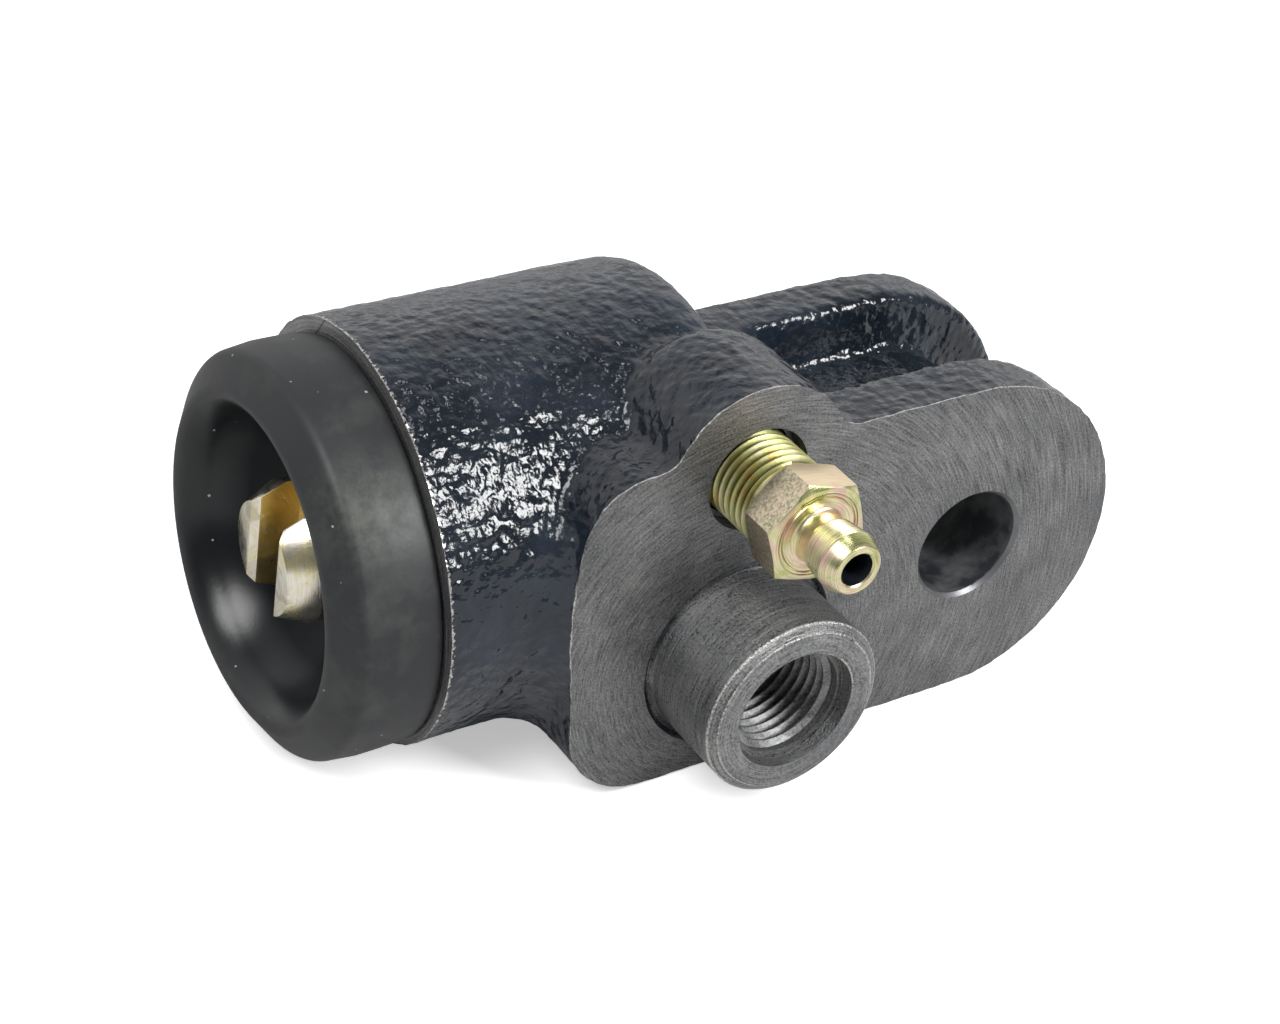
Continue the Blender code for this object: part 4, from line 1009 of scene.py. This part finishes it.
class WHEELCYLINDER_OT_stage(bpy.types.Operator):
    """Sets the pale floor, the soft lights, the world and the camera."""

    bl_idname = "wheel_cylinder.stage"
    bl_label = "Stage"

    def execute(self, context):
        """Makes the stage."""
        scene = context.scene
        settings = scene.wheel_cylinder_stage
        scene.view_settings.view_transform = "Standard"
        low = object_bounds()[0]
        bpy.ops.object.select_all(action="DESELECT")
        bpy.ops.mesh.primitive_plane_add(size=3.0, location=(0, 0, low[2] - 0.05 * MM))
        floor = settle("studio_floor")
        paper, tree, shader, place = start_material("matt_studio_paper")
        fibres = add(tree, "TexNoise", {"Scale": 1 / (0.5 * MM), "Detail": 2.0, "Vector": place})
        bump = add(tree, "Bump", {"Strength": 0.1, "Distance": 0.02 * MM, "Height": fibres})
        path = add(tree, "LightPath")
        away = add(tree, "VectorMath", {"operation": "LENGTH", 0: place})
        fading = add(tree, "MapRange", {0: away, 1: 0.12, 2: 0.5, 3: settings.paper_lift, 4: 1.0})
        lift = add(tree, "Math", {"operation": "MULTIPLY", 0: fading, 1: path.outputs["Is Camera Ray"]})
        seen = add(tree, "Mix", {"data_type": "RGBA", 0: path.outputs["Is Glossy Ray"], 6: settings.floor,
                                 7: settings.floor_mirrored})
        wire(tree, shader, {"Base Color": seen, "Roughness": 0.9, "Emission Color": (1, 1, 1),
                            "Emission Strength": lift, "Normal": bump})
        floor.data.materials.append(paper)
        floor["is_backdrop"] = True
        self.surroundings(scene, settings)
        middle = Vector((0, 12, 0)) * MM
        for name, place, size, power in (
                ("key_softbox", (0.29, -0.48, 0.41), (0.22, 0.34), settings.key_power),
                ("upper_left_softbox", (-0.36, -0.15, 0.58), (0.34, 0.34), settings.key_power * 0.65),
                ("top_softbox", (0.06, 0.03, 0.66), (0.12, 0.12), settings.key_power * 0.06)):
            bpy.ops.object.select_all(action="DESELECT")
            bpy.ops.object.light_add(type="AREA", location=place)
            lamp = bpy.context.object
            lamp.name = name
            lamp.data.shape = "RECTANGLE"
            lamp.data.size, lamp.data.size_y = size
            lamp.data.energy = power
            lamp.rotation_euler = (middle - lamp.location).to_track_quat("-Z", "Y").to_euler()
        bpy.ops.object.select_all(action="DESELECT")
        bpy.ops.object.camera_add()
        camera = bpy.context.object
        camera.data.sensor_width = 36.0
        camera.data.lens = settings.lens
        camera.data.clip_start = 0.01
        # the place and turn come from the photograph's circles and the outline of the milled face
        right = Vector((0.855, -0.5127, 0.0784))
        down = Vector((-0.2301, -0.5105, -0.8286))
        forward = Vector((0.4648, 0.6904, -0.5544))
        turn = Matrix((right, -down, -forward)).transposed().to_4x4()
        camera.matrix_world = Matrix.Translation(Vector((-141.8, -169.4, 148.6)) * MM) @ turn
        scene.camera = camera
        return {"FINISHED"}

    def surroundings(self, scene, settings):
        """A white backdrop behind the part and a dark room above and in front of it; white to the camera."""
        world = bpy.data.worlds.new("studio")
        world.use_nodes = True
        scene.world = world
        tree = world.node_tree
        way = add(tree, "SeparateXYZ", {0: add(tree, "TexCoord").outputs["Generated"]})
        behind = add(tree, "MapRange", {0: way.outputs[1], 1: -0.15, 2: 0.45})
        under = add(tree, "MapRange", {0: way.outputs[2], 1: 1.0, 2: 0.72})
        backdrop = add(tree, "Math", {"operation": "MULTIPLY", 0: behind, 1: under})
        mirrored = add(tree, "MapRange", {0: backdrop, 3: settings.ceiling, 4: settings.backdrop})
        path = add(tree, "LightPath")
        soft = add(tree, "Mix", {0: path.outputs["Is Diffuse Ray"], 2: mirrored, 3: settings.sky})
        straight = add(tree, "Math", {"operation": "MAXIMUM", 0: path.outputs["Is Camera Ray"],
                                      1: path.outputs["Is Transmission Ray"]})
        strength = add(tree, "Mix", {0: straight, 2: soft, 3: 1.0})
        wire(tree, tree.nodes["Background"], {"Color": (1, 1, 1), "Strength": strength})


class WHEELCYLINDER_PT_panel(bpy.types.Panel):
    """Lists the wheel cylinder's pieces and sizes."""

    bl_label = "Wheel Cylinder"
    bl_idname = "WHEELCYLINDER_PT_panel"
    bl_space_type = "VIEW_3D"
    bl_region_type = "UI"
    bl_category = "Wheel Cylinder"

    def draw(self, context):
        """Draws the properties and a button for each operator."""
        for group in ("casting", "boot", "screw", "colours", "stage"):
            box = self.layout.box()
            settings = getattr(context.scene, "wheel_cylinder_" + group)
            for key in type(settings).__annotations__:
                box.prop(settings, key)
        for operator in OPERATORS:
            self.layout.operator(operator.bl_idname)


OPERATORS = (WHEELCYLINDER_OT_casting, WHEELCYLINDER_OT_inlet_thread, WHEELCYLINDER_OT_boot,
             WHEELCYLINDER_OT_piston, WHEELCYLINDER_OT_bleed_screw, WHEELCYLINDER_OT_stage)
GROUPS = {"casting": CastingSizes, "boot": BootSizes, "screw": ScrewSizes, "colours": FinishColours,
          "stage": StageSettings}


def register():
    """Registers the properties, operators and panel."""
    for name, group in GROUPS.items():
        bpy.utils.register_class(group)
        setattr(bpy.types.Scene, "wheel_cylinder_" + name, PointerProperty(type=group))
    for operator in OPERATORS:
        bpy.utils.register_class(operator)
    bpy.utils.register_class(WHEELCYLINDER_PT_panel)


def unregister():
    """Takes away what register added."""
    bpy.utils.unregister_class(WHEELCYLINDER_PT_panel)
    for operator in reversed(OPERATORS):
        bpy.utils.unregister_class(operator)
    for name, group in GROUPS.items():
        delattr(bpy.types.Scene, "wheel_cylinder_" + name)
        bpy.utils.unregister_class(group)


def main():
    """Models every piece and sets the stage."""
    register()
    bpy.ops.wheel_cylinder.casting()
    bpy.ops.wheel_cylinder.inlet_thread()
    bpy.ops.wheel_cylinder.boot()
    bpy.ops.wheel_cylinder.piston()
    bpy.ops.wheel_cylinder.bleed_screw()
    bpy.ops.wheel_cylinder.stage()
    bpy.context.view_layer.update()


if __name__ == "__main__":
    main()
